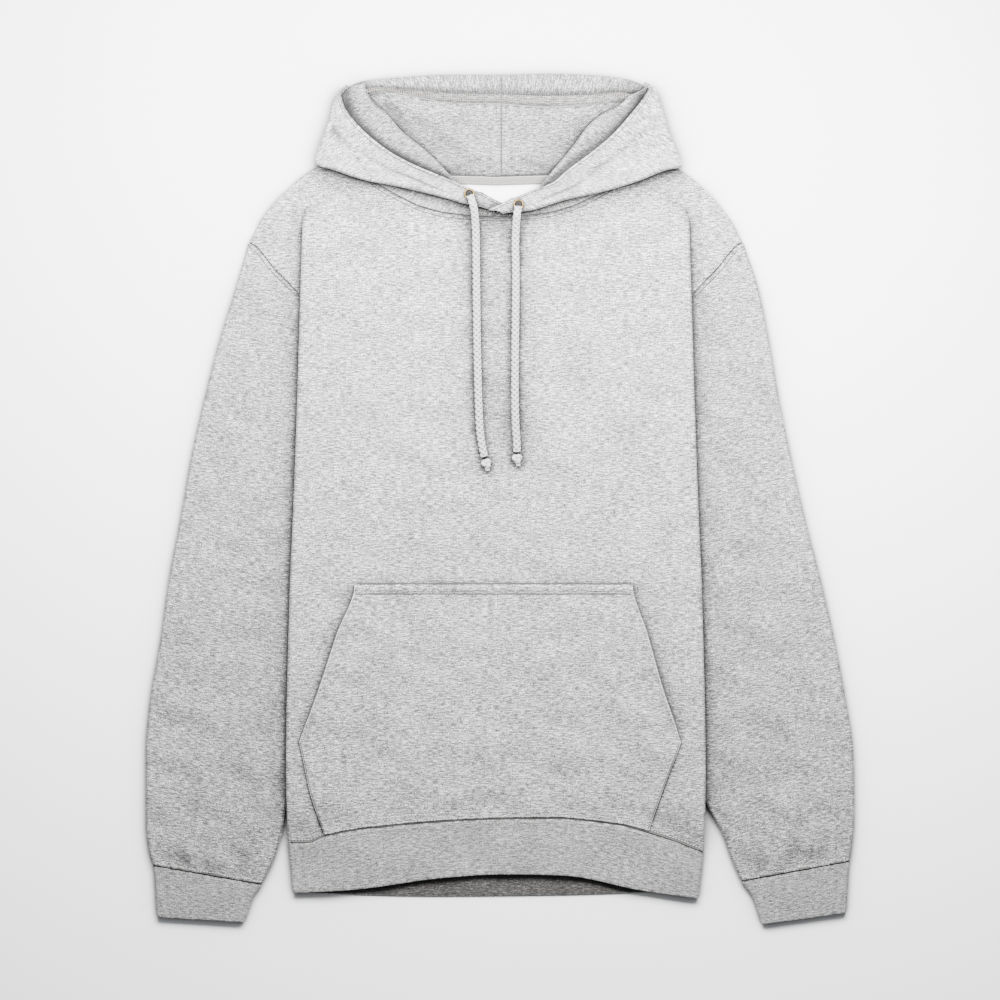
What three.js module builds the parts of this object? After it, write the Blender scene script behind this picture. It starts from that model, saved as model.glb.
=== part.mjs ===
// Pullover hoodie in grey marl fleece, laid flat on its back with the arms drawn down.
// Millimetres, +Z up, hem towards -Y, hood towards +Y. The garment rests on z = 0.
import * as THREE from "three";

// Driving sizes
const WALL = 1.6; // sweatshirt fleece
const HOOD_WALL = 1.4; // each of the hood's two cloths
const RIB_WALL = 2; // cuffs and hem band
const SEAM = 0.3; // left between two pieces at a seam
const RIB_SEAM = 0.7; // left between the body and its hem band
const ARMHOLE_SEAM = 0.5; // the same for a sleeve, along x and along y
const NECK_SEAM = 0.8; // left between the body and the hood
const STEP = 1.95; // from one flat layer to the next
const HOOD_STEP = 3.4; // from one doubled layer of the hood to the next
const LOFT = 3.4; // how much higher the upper cloth lies where it puffs
const MIDDLE = -4; // x of the line that halves the body
const HEM_SIDE = -327; // y of the hem seam at the side folds
const SHOULDER = 311; // y of the shoulder line above the side folds
const BODY_LENGTH = SHOULDER - HEM_SIDE;
const CENTRE_Y = 1.5; // y of the laid garment's middle, before it is moved to 0
const CORD = 6.5; // drawcord diameter
const LOW = WALL / 2; // height of the middle of the lowest cloth
const HOOD_LOW = HOOD_WALL + SEAM / 2; // the same for the hood's doubled cloth
const CHEST_HEIGHT = 6; // the front's middle, clear of the back
const NECK_HEIGHT = 4.95; // the front at its neckline

// Half widths of the body: up is the share of the way from hem to shoulder line
const SIDE_FOLD = [
  { up: 0, half: 198.5 },
  { up: 0.11, half: 200 },
  { up: 0.38, half: 196.5 },
  { up: 0.49, half: 193.5 },
  { up: 0.64, half: 190 },
  { up: 0.82, half: 186.5 },
  { up: 1, half: 183 },
];
const SIDE_SEAM = [
  { up: 0, half: 192 },
  { up: 0.056, half: 189 },
  { up: 0.14, half: 173 },
  { up: 0.25, half: 151.5 },
  { up: 0.386, half: 131.5 },
  { up: 0.525, half: 113 },
  { up: 0.6325, half: 97.8 },
];
const ARMHOLE = [
  { up: 0.6325, half: 97.8 },
  { up: 0.694, half: 113 },
  { up: 0.728, half: 130.4 },
  { up: 0.763, half: 159 },
  { up: 0.823, half: 186.6 },
  { up: 0.906, half: 214.9 },
  { up: 1, half: 236 },
];
const UNDERARM = 0.6325;
const PLEAT = { top: 0.955, full: 0.92, foot: 0.735, depth: 58 };

// Edges that run across the body, x and y
const FRONT_HEM_SEAM = [
  { x: -202, y: -327 },
  { x: -184, y: -327 },
  { x: -168, y: -321 },
  { x: -122, y: -313 },
  { x: -12, y: -305 },
  { x: 47, y: -304 },
  { x: 112, y: -310 },
  { x: 166, y: -325 },
  { x: 196, y: -337 },
];
const BACK_HEM_SEAM = [
  { x: -202, y: -327 },
  { x: 0, y: -330 },
  { x: 196, y: -337 },
];
const FRONT_HEM_EDGE = [
  { x: -199, y: -376 },
  { x: -144, y: -373 },
  { x: -50, y: -361 },
  { x: 4, y: -358 },
  { x: 58, y: -359 },
  { x: 139, y: -374 },
  { x: 190, y: -381 },
];
const BACK_HEM_EDGE = [
  { x: -199, y: -376 },
  { x: -60, y: -379 },
  { x: 50, y: -378 },
  { x: 147, y: -376 },
  { x: 190, y: -381 },
];
// Shoulder line and front neckline, out from the middle
const FRONT_TOP = [
  { out: 0, y: 272 },
  { out: 24, y: 273 },
  { out: 48, y: 275.5 },
  { out: 73, y: 282 },
  { out: 92, y: 291 },
  { out: 120, y: 308 },
  { out: 145, y: 335 },
  { out: 173, y: 320 },
  { out: 188, y: 309 },
  { out: 207, y: 291 },
  { out: 225, y: 269 },
  { out: 236, y: 248 },
];
const BACK_TOP = [
  { out: 0, y: 311 },
  { out: 80, y: 314 },
  { out: 120, y: 322 },
  { out: 145, y: 335 },
  { out: 173, y: 320 },
  { out: 188, y: 309 },
  { out: 207, y: 291 },
  { out: 225, y: 269 },
  { out: 236, y: 248 },
];

// Sleeves, a row for each section from armhole to cuff: outer and inner edge
const SLEEVE_LEFT = [
  { ox: -240, oy: 248, ix: -101.8, iy: 68.6 },
  { ox: -253, oy: 203, ix: -116, iy: 44 },
  { ox: -268, oy: 155, ix: -128, iy: 11 },
  { ox: -283, oy: 97, ix: -137, iy: -28 },
  { ox: -296, oy: 39, ix: -146, iy: -71 },
  { ox: -306, oy: -18, ix: -156, iy: -114 },
  { ox: -317, oy: -76, ix: -166, iy: -157 },
  { ox: -325, oy: -133, ix: -177, iy: -196 },
  { ox: -335, oy: -191, ix: -188, iy: -234 },
  { ox: -339, oy: -239, ix: -199, iy: -268 },
  { ox: -339, oy: -277, ix: -206, iy: -292 },
  { ox: -339, oy: -306, ix: -210, iy: -318 },
  { ox: -337, oy: -330, ix: -218, iy: -345 },
  { ox: -332, oy: -349, ix: -229, iy: -367 },
];
const SLEEVE_RIGHT = [
  { ox: 232, oy: 248, ix: 93.8, iy: 68.6 },
  { ox: 247, oy: 203, ix: 108, iy: 44 },
  { ox: 257, oy: 155, ix: 120, iy: 11 },
  { ox: 267, oy: 97, ix: 129, iy: -28 },
  { ox: 279, oy: 39, ix: 138, iy: -71 },
  { ox: 292, oy: -18, ix: 148, iy: -114 },
  { ox: 307, oy: -76, ix: 158, iy: -157 },
  { ox: 320, oy: -133, ix: 169, iy: -196 },
  { ox: 331, oy: -191, ix: 180, iy: -234 },
  { ox: 338, oy: -239, ix: 191, iy: -268 },
  { ox: 339, oy: -277, ix: 200, iy: -292 },
  { ox: 339, oy: -306, ix: 213.5, iy: -318 },
  { ox: 337, oy: -330, ix: 223.5, iy: -345 },
  { ox: 335, oy: -345, ix: 232, iy: -364 },
];
const CUFF_LEFT = [
  { ox: -331, oy: -350, ix: -229, iy: -368 },
  { ox: -330, oy: -366, ix: -237, iy: -379 },
  { ox: -328, oy: -399, ix: -246, iy: -404 },
];
const CUFF_RIGHT = [
  { ox: 334, oy: -346, ix: 232, iy: -365 },
  { ox: 333, oy: -362, ix: 242, iy: -378 },
  { ox: 331, oy: -395, ix: 252, iy: -406 },
];

// The pocket's top edge, which is also where the body's rows run straight across
const POCKET_TOP = { up: 0.39, y: -80 };
// How far out the pocket's sides lie, up to its top, and then how far out the neck's side lies
const POCKET_EDGES = [
  { up: 0, left: 164, right: 146 },
  { up: 0.078, left: 180, right: 162 },
  { up: 0.152, left: 188, right: 177 },
  { up: 0.23, left: 169, right: 159.5 },
  { up: 0.312, left: 152, right: 145 },
  { up: POCKET_TOP.up, left: 135, right: 131 },
  { up: 1, left: 145, right: 145 },
];
const NECK_SIDE = 145;

// Hood, from the centre back to the corner: n neck seam, k ridge, r rim
const HOOD_BACK_LEFT = [
  { nx: 0.8, kx: 0.8, ky: 378, kz: 5.2, rx: 0.8, ry: 408, rz: 5 },
  { nx: -52, kx: -46, ky: 379, kz: 5.2, rx: -48, ry: 408, rz: 5 },
  { nx: -100, kx: -88, ky: 387, kz: 4.6, rx: -97, ry: 405, rz: 4.6 },
  { nx: -125.8, kx: -111, ky: 393, kz: 2.4, rx: -130, ry: 402, rz: 2.6 },
  { nx: -147, kx: -131, ky: 388, kz: 1.55, rx: -146, ry: 397, rz: 1.6 },
];
const HOOD_BACK_RIGHT = [
  { nx: 1.2, kx: 1.2, ky: 378, kz: 5.2, rx: 1.2, ry: 408, rz: 5 },
  { nx: 48, kx: 46, ky: 375, kz: 5.2, rx: 48, ry: 409, rz: 5 },
  { nx: 92, kx: 88, ky: 378, kz: 3.2, rx: 96, ry: 407, rz: 4.6 },
  { nx: 117.8, kx: 110, ky: 383, kz: 1.7, rx: 122, ry: 404, rz: 2.6 },
  { nx: 139, kx: 126, ky: 382, kz: 1.55, rx: 139, ry: 398, rz: 1.6 },
];
// Hood, from the corner round to the front tip: u inner fold, l outer fold, r rim
const HOOD_SIDE_LEFT = [
  { nx: -147, ux: -131, uy: 397, lx: -157, ly: 386, lz: 6, rx: -153, ry: 391 },
  { nx: -141, ux: -124, uy: 382, lx: -162, ly: 367, lz: 4.5, rx: -149, ry: 377 },
  { nx: -134, ux: -110, uy: 370, lx: -170, ly: 345, lz: 4.5, rx: -139, ry: 363 },
  { nx: -125.8, ux: -95, uy: 353, lx: -176, ly: 325, lz: 6, rx: -126, ry: 350 },
  { nx: -114, ux: -75, uy: 337, lx: -158, ly: 318, lz: 8, rx: -102, ry: 332 },
  { nx: -102.6, ux: -61, uy: 324, lx: -127, ly: 308, lz: 8.35, rx: -79, ry: 320 },
  { nx: -79.4, ux: -48, uy: 310, lx: -96, ly: 302, lz: 8.35, rx: -57, ry: 311 },
  { nx: -56.2, ux: -36, uy: 297, lx: -58, ly: 293, lz: 8.35, rx: -33, ry: 301 },
  { nx: -30.1, ux: -20, uy: 288, lx: -33, ly: 286, lz: 8.35, rx: -14, ry: 293 },
  { nx: -14, ux: -9.5, uy: 283, lx: -16, ly: 282.5, lz: 8.35, rx: -5, ry: 288.5 },
];
const HOOD_SIDE_RIGHT = [
  { nx: 139, ux: 126, uy: 388, lx: 149, ly: 391, lz: 6, rx: 143, ry: 396 },
  { nx: 133, ux: 114, uy: 377, lx: 154, ly: 376, lz: 4.5, rx: 137, ry: 385 },
  { nx: 126, ux: 98, uy: 369, lx: 161, ly: 353, lz: 4.5, rx: 125, ry: 370 },
  { nx: 117.8, ux: 86, uy: 359, lx: 173, ly: 322, lz: 6, rx: 108, ry: 351 },
  { nx: 106, ux: 72, uy: 340, lx: 158, ly: 318, lz: 8, rx: 88, ry: 334 },
  { nx: 94.6, ux: 57, uy: 322, lx: 130, ly: 307, lz: 8.35, rx: 65, ry: 317 },
  { nx: 71.4, ux: 46, uy: 309, lx: 96, ly: 297, lz: 8.35, rx: 50, ry: 304.5 },
  { nx: 48.2, ux: 32, uy: 293, lx: 62, ly: 289.5, lz: 8.35, rx: 29, ry: 296.5 },
  { nx: 22.1, ux: 15, uy: 285, lx: 26, ly: 279, lz: 8.6, rx: 8, ry: 287.5 },
  { nx: 4, ux: 7, uy: 283, lx: 1.5, ly: 277.5, lz: 11.6, rx: -11, ry: 278 },
];

// Eyelets and drawcords: x and y of each centre and route
const EYELET = { outer: 5.3, inner: 3, thick: 1.2, clear: 0.6 };
const EYELETS = { left: { x: -29.4, y: 293.8, z: 13.4 }, right: { x: 17.7, y: 283.5, z: 14.3 } };
const CORD_LEFT = [
  [-28.6, 291.5, 18.9],
  [-26.6, 286, 20.2],
  [-24.6, 278, 17.6],
  [-23.6, 268, 13.2],
  [-23, 254, 10.9],
  [-22.7, 225, 10.6],
  [-22, 160, 10.6],
  [-20.5, 95, 10.6],
  [-19, 66, 10.6],
  [-16.6, 50, 10.6],
  [-14.9, 42.6, 10.6],
];
const CORD_RIGHT = [
  [17.3, 281.2, 20],
  [16.5, 275, 20.7],
  [15.7, 267, 16.6],
  [15.1, 257, 12.6],
  [14.8, 245, 10.9],
  [15.2, 215, 10.6],
  [14.6, 150, 10.6],
  [14.4, 100, 10.6],
  [15, 72, 10.6],
  [16, 58, 10.6],
  [16.3, 47.2, 10.6],
];
const KNOT = { radius: 5.2, length: 6 };
const KNOTS = { left: { x: -13, y: 35.9, z: 12.5, turn: 0.3 }, right: { x: 16.4, y: 40.5, z: 12.5, turn: 0.05 } };

// Eased step from 0 to 1
function ease(t) {
  const s = Math.min(Math.max(t, 0), 1);
  return s * s * (3 - 2 * s);
}

function lerp(a, b, t) {
  return a + (b - a) * t;
}

// A smooth curve through a table's rows that never overshoots them
function curve(rows, at, of) {
  const t = rows.map((row) => row[at]);
  const v = rows.map((row) => row[of]);
  const rise = t.slice(1).map((next, i) => (v[i + 1] - v[i]) / (next - t[i]));
  const slope = t.map((_, i) => {
    if (i === 0) return rise[0];
    if (i === t.length - 1) return rise[i - 1];
    return rise[i - 1] * rise[i] <= 0 ? 0 : (2 * rise[i - 1] * rise[i]) / (rise[i - 1] + rise[i]);
  });
  return (x) => {
    let i = 0;
    while (i < t.length - 2 && x > t[i + 1]) i += 1;
    const width = t[i + 1] - t[i];
    const s = Math.min(Math.max((x - t[i]) / width, 0), 1);
    const start = (1 + 2 * s) * (1 - s) * (1 - s) * v[i] + s * (1 - s) * (1 - s) * width * slope[i];
    return start + s * s * (3 - 2 * s) * v[i + 1] - s * s * (1 - s) * width * slope[i + 1];
  };
}

const foldHalf = curve(SIDE_FOLD, "up", "half");
const sideSeamHalf = curve(SIDE_SEAM, "up", "half");
const armholeHalf = curve(ARMHOLE, "up", "half");
const frontHemSeam = curve(FRONT_HEM_SEAM, "x", "y");
const backHemSeam = curve(BACK_HEM_SEAM, "x", "y");
const frontHemEdge = curve(FRONT_HEM_EDGE, "x", "y");
const backHemEdge = curve(BACK_HEM_EDGE, "x", "y");
const frontTop = curve(FRONT_TOP, "out", "y");
const backTop = curve(BACK_TOP, "out", "y");
const pocketLeft = curve(POCKET_EDGES, "up", "left");
const pocketRight = curve(POCKET_EDGES, "up", "right");

// Heights of the layers
const seamHalf = (up) => (up < UNDERARM ? sideSeamHalf(up) : armholeHalf(up));
const pleated = (up) => ease((PLEAT.top - up) / (PLEAT.top - PLEAT.full));
const sleeveInside = (up) => ease((up - 0.003) / 0.036);
const pleatDepth = (up) => (PLEAT.depth * Math.max(PLEAT.top - up, 0)) / (PLEAT.top - PLEAT.foot);
const upperFlat = (up) => LOW + STEP + LOFT * ease(((1 - up) * BODY_LENGTH) / 60);
const underBody = (inward) => ease((inward + 28) / 22);
const bodyUp = (y) => (y - HEM_SIDE) / BODY_LENGTH;

// Height of the front's upper cloth, at a distance out from the middle
function frontHeight(out, up) {
  const fold = foldHalf(up);
  const k = pleated(up);
  const top = lerp(upperFlat(up), LOW + STEP * (3 + 2 * sleeveInside(up)), k);
  const reach = k * Math.max(fold - seamHalf(up), up > PLEAT.foot ? pleatDepth(up) : 0);
  const middle = lerp(CHEST_HEIGHT, NECK_HEIGHT, ease((up - 0.9) / 0.07));
  return lerp(top, middle, ease((fold - out - reach - 5) / 60));
}

// The levels of a body panel: its face, the layer folded back under it, and the one joined to the sleeve
const FRONT_LEVELS = {
  face: frontHeight,
  back: (up) => LOW + STEP * (2 + 2 * sleeveInside(up)),
  under: (inward, up) => lerp(upperFlat(up), LOW + 3 * STEP, pleated(up) * underBody(inward)),
  flat: upperFlat,
  seamSide: 1,
  inset: 0,
};
const BACK_LEVELS = {
  face: () => LOW,
  back: () => LOW + STEP,
  under: (inward, up) => lerp(LOW, LOW + 2 * STEP, pleated(up) * underBody(inward)),
  flat: () => LOW,
  seamSide: -1,
  inset: 1,
};
const FOLD_STEPS = 3;
const INNER_FOLD_STEPS = 2;
const UNDER_STEPS = 2;
const RETURN_STEPS = 2;
const FACE_SHARES = [0, 0.18, 0.36, 0.52, 0.68, 0.84, 1];

// Half a round fold, from one level to the next, bulging to side
function foldArc(out, from, to, side, steps) {
  const radius = Math.abs(from - to) / 2;
  return Array.from({ length: steps + 1 }, (_, i) => {
    const angle = Math.PI * (0.5 - i / steps);
    return [
      out - side * radius + side * radius * Math.cos(angle),
      (from + to) / 2 + Math.sign(from - to) * radius * Math.sin(angle),
    ];
  });
}

// Straight run of points after the first one, ending on the last
function run(from, to, steps, height) {
  return Array.from({ length: steps }, (_, i) => {
    const out = lerp(from, to, (i + 1) / steps);
    return [out, height(out)];
  });
}

// Distances out from the middle of a body panel's columns, up to the one at its side fold
function faceColumns(up, side, last) {
  const edge = side < 0 ? pocketLeft(up) : pocketRight(up);
  return [...FACE_SHARES.map((share) => share * edge), (edge + last) / 2];
}

// One half of a body panel's section: points out from the middle, each with its height
function halfSection(up, levels, side) {
  const fold = foldHalf(up) - levels.inset;
  const seam = seamHalf(up);
  const k = pleated(up);
  const radius = STEP / 2;
  const last = fold - radius;
  const back = levels.back(up);
  const inner = fold - pleatDepth(up);
  const underHeight = (out) => levels.under(fold - out, up);
  const face = faceColumns(up, side, last).map((out) => [out, levels.face(out, up)]);
  const outerFold = foldArc(fold, levels.face(last, up), back, 1, FOLD_STEPS);
  const tail = RETURN_STEPS + INNER_FOLD_STEPS + UNDER_STEPS;
  const meeting = (FRONT_LEVELS.back(up) + BACK_LEVELS.back(up) + levels.seamSide * STEP) / 2;
  const closing = lerp(back, meeting, ease((UNDERARM - 0.03 - up) / 0.06));
  const plain = [
    ...run(last, Math.min(seam + 6, lerp(seam, last, 0.5)), tail - 1, () => back),
    [seam, closing],
  ];
  const pleatTail = [
    ...run(last, inner + radius, RETURN_STEPS, () => back),
    ...foldArc(inner, back, underHeight(inner + radius), -1, INNER_FOLD_STEPS).slice(1),
    ...run(inner + radius, seam, UNDER_STEPS, underHeight),
  ];
  const both = up > PLEAT.foot ? ease((seam - inner - 4) / 10) : 0;
  const folded = plain.map((point, i) => {
    const other = both > 0 ? pleatTail[i] : point;
    return [lerp(point[0], other[0], both), lerp(point[1], other[1], both)];
  });
  const foldedAll = [...outerFold, ...folded];
  const flat = run(face.at(-1)[0], seam, foldedAll.length, () => levels.flat(up));
  const end = foldedAll.map((point, i) => {
    return [lerp(flat[i][0], point[0], k), lerp(flat[i][1], point[1], k)];
  });
  return [...face, ...end];
}

// Points of a body panel, rows from hem to shoulder, columns from left seam to right seam
const BODY_ROWS = [
  0, 0.04, 0.1, 0.152, 0.22, 0.3, POCKET_TOP.up, 0.46, 0.53, 0.6, UNDERARM,
  0.69, 0.72, 0.775, 0.82, 0.87, 0.91, 0.935, 0.955, 1,
];

function bodyY(x, up, hemSeam, top) {
  const out = Math.abs(x - MIDDLE);
  const above = (up - POCKET_TOP.up) / (1 - POCKET_TOP.up);
  const lower = lerp(frontHemSeam(x), POCKET_TOP.y, up / POCKET_TOP.up);
  const shared = above > 0 ? lerp(POCKET_TOP.y, frontTop(out), above) : lower;
  const hem = (hemSeam(x) - frontHemSeam(x)) * ease(1 - up / 0.2);
  return shared + hem + (top(out) - frontTop(out)) * ease((up - 0.85) / 0.15);
}

function bodyGrid(levels, hemSeam, top) {
  return BODY_ROWS.map((up) => {
    const half = (side) =>
      halfSection(up, levels, side).map(([out, z]) => {
        const x = MIDDLE + side * out;
        return new THREE.Vector3(x, bodyY(x, up, hemSeam, top), z);
      });
    return [...half(-1).slice(1).reverse(), ...half(1)];
  });
}

// Unit normal at each point of a grid of points
function gridNormals(grid, ring) {
  const across = grid[0].length;
  return grid.map((row, i) =>
    row.map((_, j) => {
      const before = ring ? row[(j - 1 + across) % across] : row[Math.max(j - 1, 0)];
      const after = ring ? row[(j + 1) % across] : row[Math.min(j + 1, across - 1)];
      const below = grid[Math.max(i - 1, 0)][j];
      const above = grid[Math.min(i + 1, grid.length - 1)][j];
      const along = after.clone().sub(before);
      return along.cross(above.clone().sub(below)).normalize();
    }),
  );
}

// A wall of cloth round the grid, moved by shift along its normals. A ring closes on itself.
function wall(grid, thick, shift = 0, ring = false) {
  const normals = gridNormals(grid, ring);
  const rows = grid.length;
  const across = grid[0].length;
  const layer = rows * across;
  const positions = [];
  [shift + thick / 2, shift - thick / 2].forEach((offset) =>
    grid.forEach((row, i) =>
      row.forEach((point, j) => {
        positions.push(...point.clone().addScaledVector(normals[i][j], offset).toArray());
      }),
    ),
  );
  const faces = [];
  const quad = (a, b, c, d) => faces.push(a, b, c, a, c, d);
  const at = (i, j) => i * across + (j % across);
  for (let i = 0; i < rows - 1; i += 1) {
    for (let j = 0; j < (ring ? across : across - 1); j += 1) {
      quad(at(i, j), at(i, j + 1), at(i + 1, j + 1), at(i + 1, j));
      quad(layer + at(i, j), layer + at(i + 1, j), layer + at(i + 1, j + 1), layer + at(i, j + 1));
    }
  }
  for (let j = 0; j < (ring ? across : across - 1); j += 1) {
    const last = rows - 1;
    quad(at(0, j + 1), at(0, j), layer + at(0, j), layer + at(0, j + 1));
    quad(at(last, j), at(last, j + 1), layer + at(last, j + 1), layer + at(last, j));
  }
  for (let i = 0; !ring && i < rows - 1; i += 1) {
    const end = across - 1;
    quad(at(i, 0), at(i + 1, 0), layer + at(i + 1, 0), layer + at(i, 0));
    quad(at(i + 1, end), at(i, end), layer + at(i, end), layer + at(i + 1, end));
  }
  const geometry = new THREE.BufferGeometry();
  geometry.setAttribute("position", new THREE.Float32BufferAttribute(positions, 3));
  geometry.setIndex(faces);
  return facingOut(geometry);
}

// Turns every face round when the closed surface is inside out
function facingOut(geometry) {
  const at = geometry.getAttribute("position");
  const index = geometry.getIndex().array;
  const corner = (i) => new THREE.Vector3().fromBufferAttribute(at, index[i]);
  let volume = 0;
  for (let i = 0; i < index.length; i += 3) {
    volume += corner(i).dot(corner(i + 1).cross(corner(i + 2)));
  }
  if (volume < 0) index.reverse();
  geometry.computeVertexNormals();
  return geometry;
}

// Sleeves

// The armhole from shoulder to underarm: shares of the chord between them, and its bulge off that chord
function armhole(side) {
  const place = (up) => {
    const x = MIDDLE + side * armholeHalf(up);
    return new THREE.Vector2(x, bodyY(x, up, frontHemSeam, frontTop));
  };
  const from = place(1);
  const chord = place(UNDERARM).sub(from);
  const offChord = (up) => {
    const point = place(up).sub(from);
    const share = point.dot(chord) / chord.lengthSq();
    return { share, x: point.x - share * chord.x, y: point.y - share * chord.y };
  };
  const rows = Array.from({ length: 25 }, (_, i) => offChord(lerp(1, UNDERARM, i / 24)));
  const shares = BODY_ROWS.filter((up) => up >= UNDERARM).reverse().map((up) => offChord(up).share);
  return { shares, x: curve(rows, "share", "x"), y: curve(rows, "share", "y") };
}

const EDGE_STEPS = 4;

// Round edge of a flattened tube, from height a to height b, bulging along outward
function edgeArc(point, outward, a, b) {
  const radius = Math.abs(a - b) / 2;
  return Array.from({ length: EDGE_STEPS - 1 }, (_, i) => {
    const angle = Math.PI * (0.5 - (i + 1) / EDGE_STEPS);
    const reach = radius * (Math.cos(angle) - 1);
    const z = (a + b) / 2 + Math.sign(a - b) * radius * Math.sin(angle);
    return new THREE.Vector3(point.x + outward.x * reach, point.y + outward.y * reach, z);
  });
}

// Flattened ring between an outer and an inner edge
function flatRing(row, shares, topHeight, lowHeight, bulge) {
  const outer = new THREE.Vector2(row.ox, row.oy);
  const inner = new THREE.Vector2(row.ix, row.iy);
  const inward = inner.clone().sub(outer).normalize();
  const outerRadius = (topHeight(outer, 0) - lowHeight(outer, 0)) / 2;
  const innerRadius = (topHeight(inner, 1) - lowHeight(inner, 1)) / 2;
  const width = inner.distanceTo(outer);
  const place = (share, height) => {
    const across = Math.min(Math.max(share * width, outerRadius), width - innerRadius);
    const flat = outer.clone().addScaledVector(inward, across).add(bulge(share));
    return new THREE.Vector3(flat.x, flat.y, height(flat, share));
  };
  const top = shares.map((share) => place(share, topHeight));
  const low = shares.map((share) => place(share, lowHeight)).reverse();
  const innerArc = edgeArc(inner.clone().add(bulge(1)), inward, top.at(-1).z, low[0].z);
  const outerEnd = outer.clone().add(bulge(0));
  const outerArc = edgeArc(outerEnd, inward.clone().negate(), low.at(-1).z, top[0].z);
  return [...top, ...innerArc, ...low, ...outerArc];
}

// Shares across a sleeve, with a column on each side of the ramp under the body's fold
function sleeveShares(row, inward, offChord) {
  const outer = new THREE.Vector2(row.ox, row.oy);
  const inner = new THREE.Vector2(row.ix, row.iy);
  const reaches = (depth, most) => {
    let share = 0;
    while (share < most && inward(outer.clone().lerp(inner, share).add(offChord(share))) < depth) share += 0.01;
    return Math.min(share, most);
  };
  const foot = reaches(-30, 0.78);
  const head = reaches(-6, 0.9);
  const beyond = [0.25, 0.5, 0.75, 1].map((share) => lerp(head, 1, share));
  return [0, foot / 3, (foot * 2) / 3, foot, (foot + head) / 2, head, ...beyond];
}

function sleeveGrid(rows, side) {
  const opening = armhole(side);
  const seamShift = new THREE.Vector2(side * ARMHOLE_SEAM, -ARMHOLE_SEAM);
  return rows.map((row, i) => {
    const inward = (at) => foldHalf(bodyUp(at.y)) - side * (at.x - MIDDLE);
    const shared = (at) => {
      const up = Math.min(Math.max(bodyUp(at.y), 0), 1);
      return pleated(up) * sleeveInside(up) * underBody(inward(at));
    };
    const reached = Math.hypot(row.ox - rows[0].ox, row.oy - rows[0].oy);
    const edgeLoft = LOFT * ease(reached / 60);
    const width = Math.hypot(row.ox - row.ix, row.oy - row.iy);
    const puffed = (share) => lerp(edgeLoft, LOFT, ease((share * width) / 32));
    const top = (at, share) => lerp(LOW + STEP + puffed(share), LOW + 3 * STEP, shared(at));
    const low = (at) => lerp(LOW, LOW + 2 * STEP, shared(at));
    const fade = Math.max(1 - i / 3, 0);
    const offChord = (share) => {
      const off = new THREE.Vector2(opening.x(share), opening.y(share)).multiplyScalar(fade);
      return i === 0 ? off.add(seamShift) : off;
    };
    const shares = i === 0 ? opening.shares : sleeveShares(row, inward, offChord);
    return flatRing(row, shares, top, low, offChord);
  });
}

// Cuffs
const CUFF_SHARES = [0, 0.25, 0.5, 0.75, 1];
const CUFF_TOP = 5.4;

function cuffGrid(rows) {
  const none = () => new THREE.Vector2();
  return rows.map((row) => flatRing(row, CUFF_SHARES, () => CUFF_TOP, () => RIB_WALL / 2, none));
}

// Hem band
const HEM = { top: 6.3, rows: 3, half: 198.5, edgeHalf: 193.5 };

function hemGrid() {
  const low = RIB_WALL / 2;
  const radius = (HEM.top - low) / 2;
  const outs = (side) => [...faceColumns(0, side, foldHalf(0) - STEP / 2), HEM.half - radius];
  const columns = [...outs(-1).slice(1).reverse().map((out) => -out), ...outs(1)];
  return Array.from({ length: HEM.rows }, (_, i) => {
    const down = i / (HEM.rows - 1);
    const taper = lerp(1, HEM.edgeHalf / HEM.half, down);
    const edge = (x, front) => {
      const seam = front ? frontHemSeam(x) : backHemSeam(x);
      const hem = front ? frontHemEdge(x) : backHemEdge(x);
      return lerp(seam - RIB_SEAM, hem, down);
    };
    const side = (sign) => ({ x: MIDDLE + sign * HEM.half * taper, y: edge(MIDDLE + sign * HEM.half, true) });
    const xs = columns.map((out) => MIDDLE + out * taper);
    const front = xs.map((x) => new THREE.Vector3(x, edge(x, true), HEM.top));
    const back = xs.map((x) => new THREE.Vector3(x, edge(x, false), low)).reverse();
    const rightArc = edgeArc(side(1), { x: 1, y: 0 }, HEM.top, low);
    const leftArc = edgeArc(side(-1), { x: -1, y: 0 }, low, HEM.top);
    return [...front, ...rightArc, ...back, ...leftArc];
  });
}

// Pocket: the front's own points inside the pocket's edges, which the wall then moves out
const POCKET_LIFT = 0.04; // how far above the hem seam it starts, as a share of the first row

function pocketGrid(front) {
  const middle = (front[0].length - 1) / 2;
  const reach = FACE_SHARES.length - 1;
  const rows = BODY_ROWS.filter((up) => up <= POCKET_TOP.up).map((_, i) => front[i]);
  return rows.map((row, i) =>
    row.slice(middle - reach, middle + reach + 1).map((point, j) => {
      const above = front[i + 1][middle - reach + j];
      return point.clone().lerp(above, i === 0 ? POCKET_LIFT : 0);
    }),
  );
}

// Neck tape, flat on the back panel under its neck seam
const TAPE = { wide: 7, thick: 1, reach: 108, columns: 12 };

function tapeGrid() {
  return [1, 0].map((across) =>
    Array.from({ length: TAPE.columns + 1 }, (_, j) => {
      const out = lerp(-TAPE.reach, TAPE.reach, j / TAPE.columns);
      const y = backTop(Math.abs(out)) - 1 - across * TAPE.wide;
      return new THREE.Vector3(MIDDLE + out, y, WALL + SEAM + TAPE.thick / 2);
    }),
  );
}

// Hood: each section is a doubled cloth folded twice between the neck seam and the rim

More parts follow.
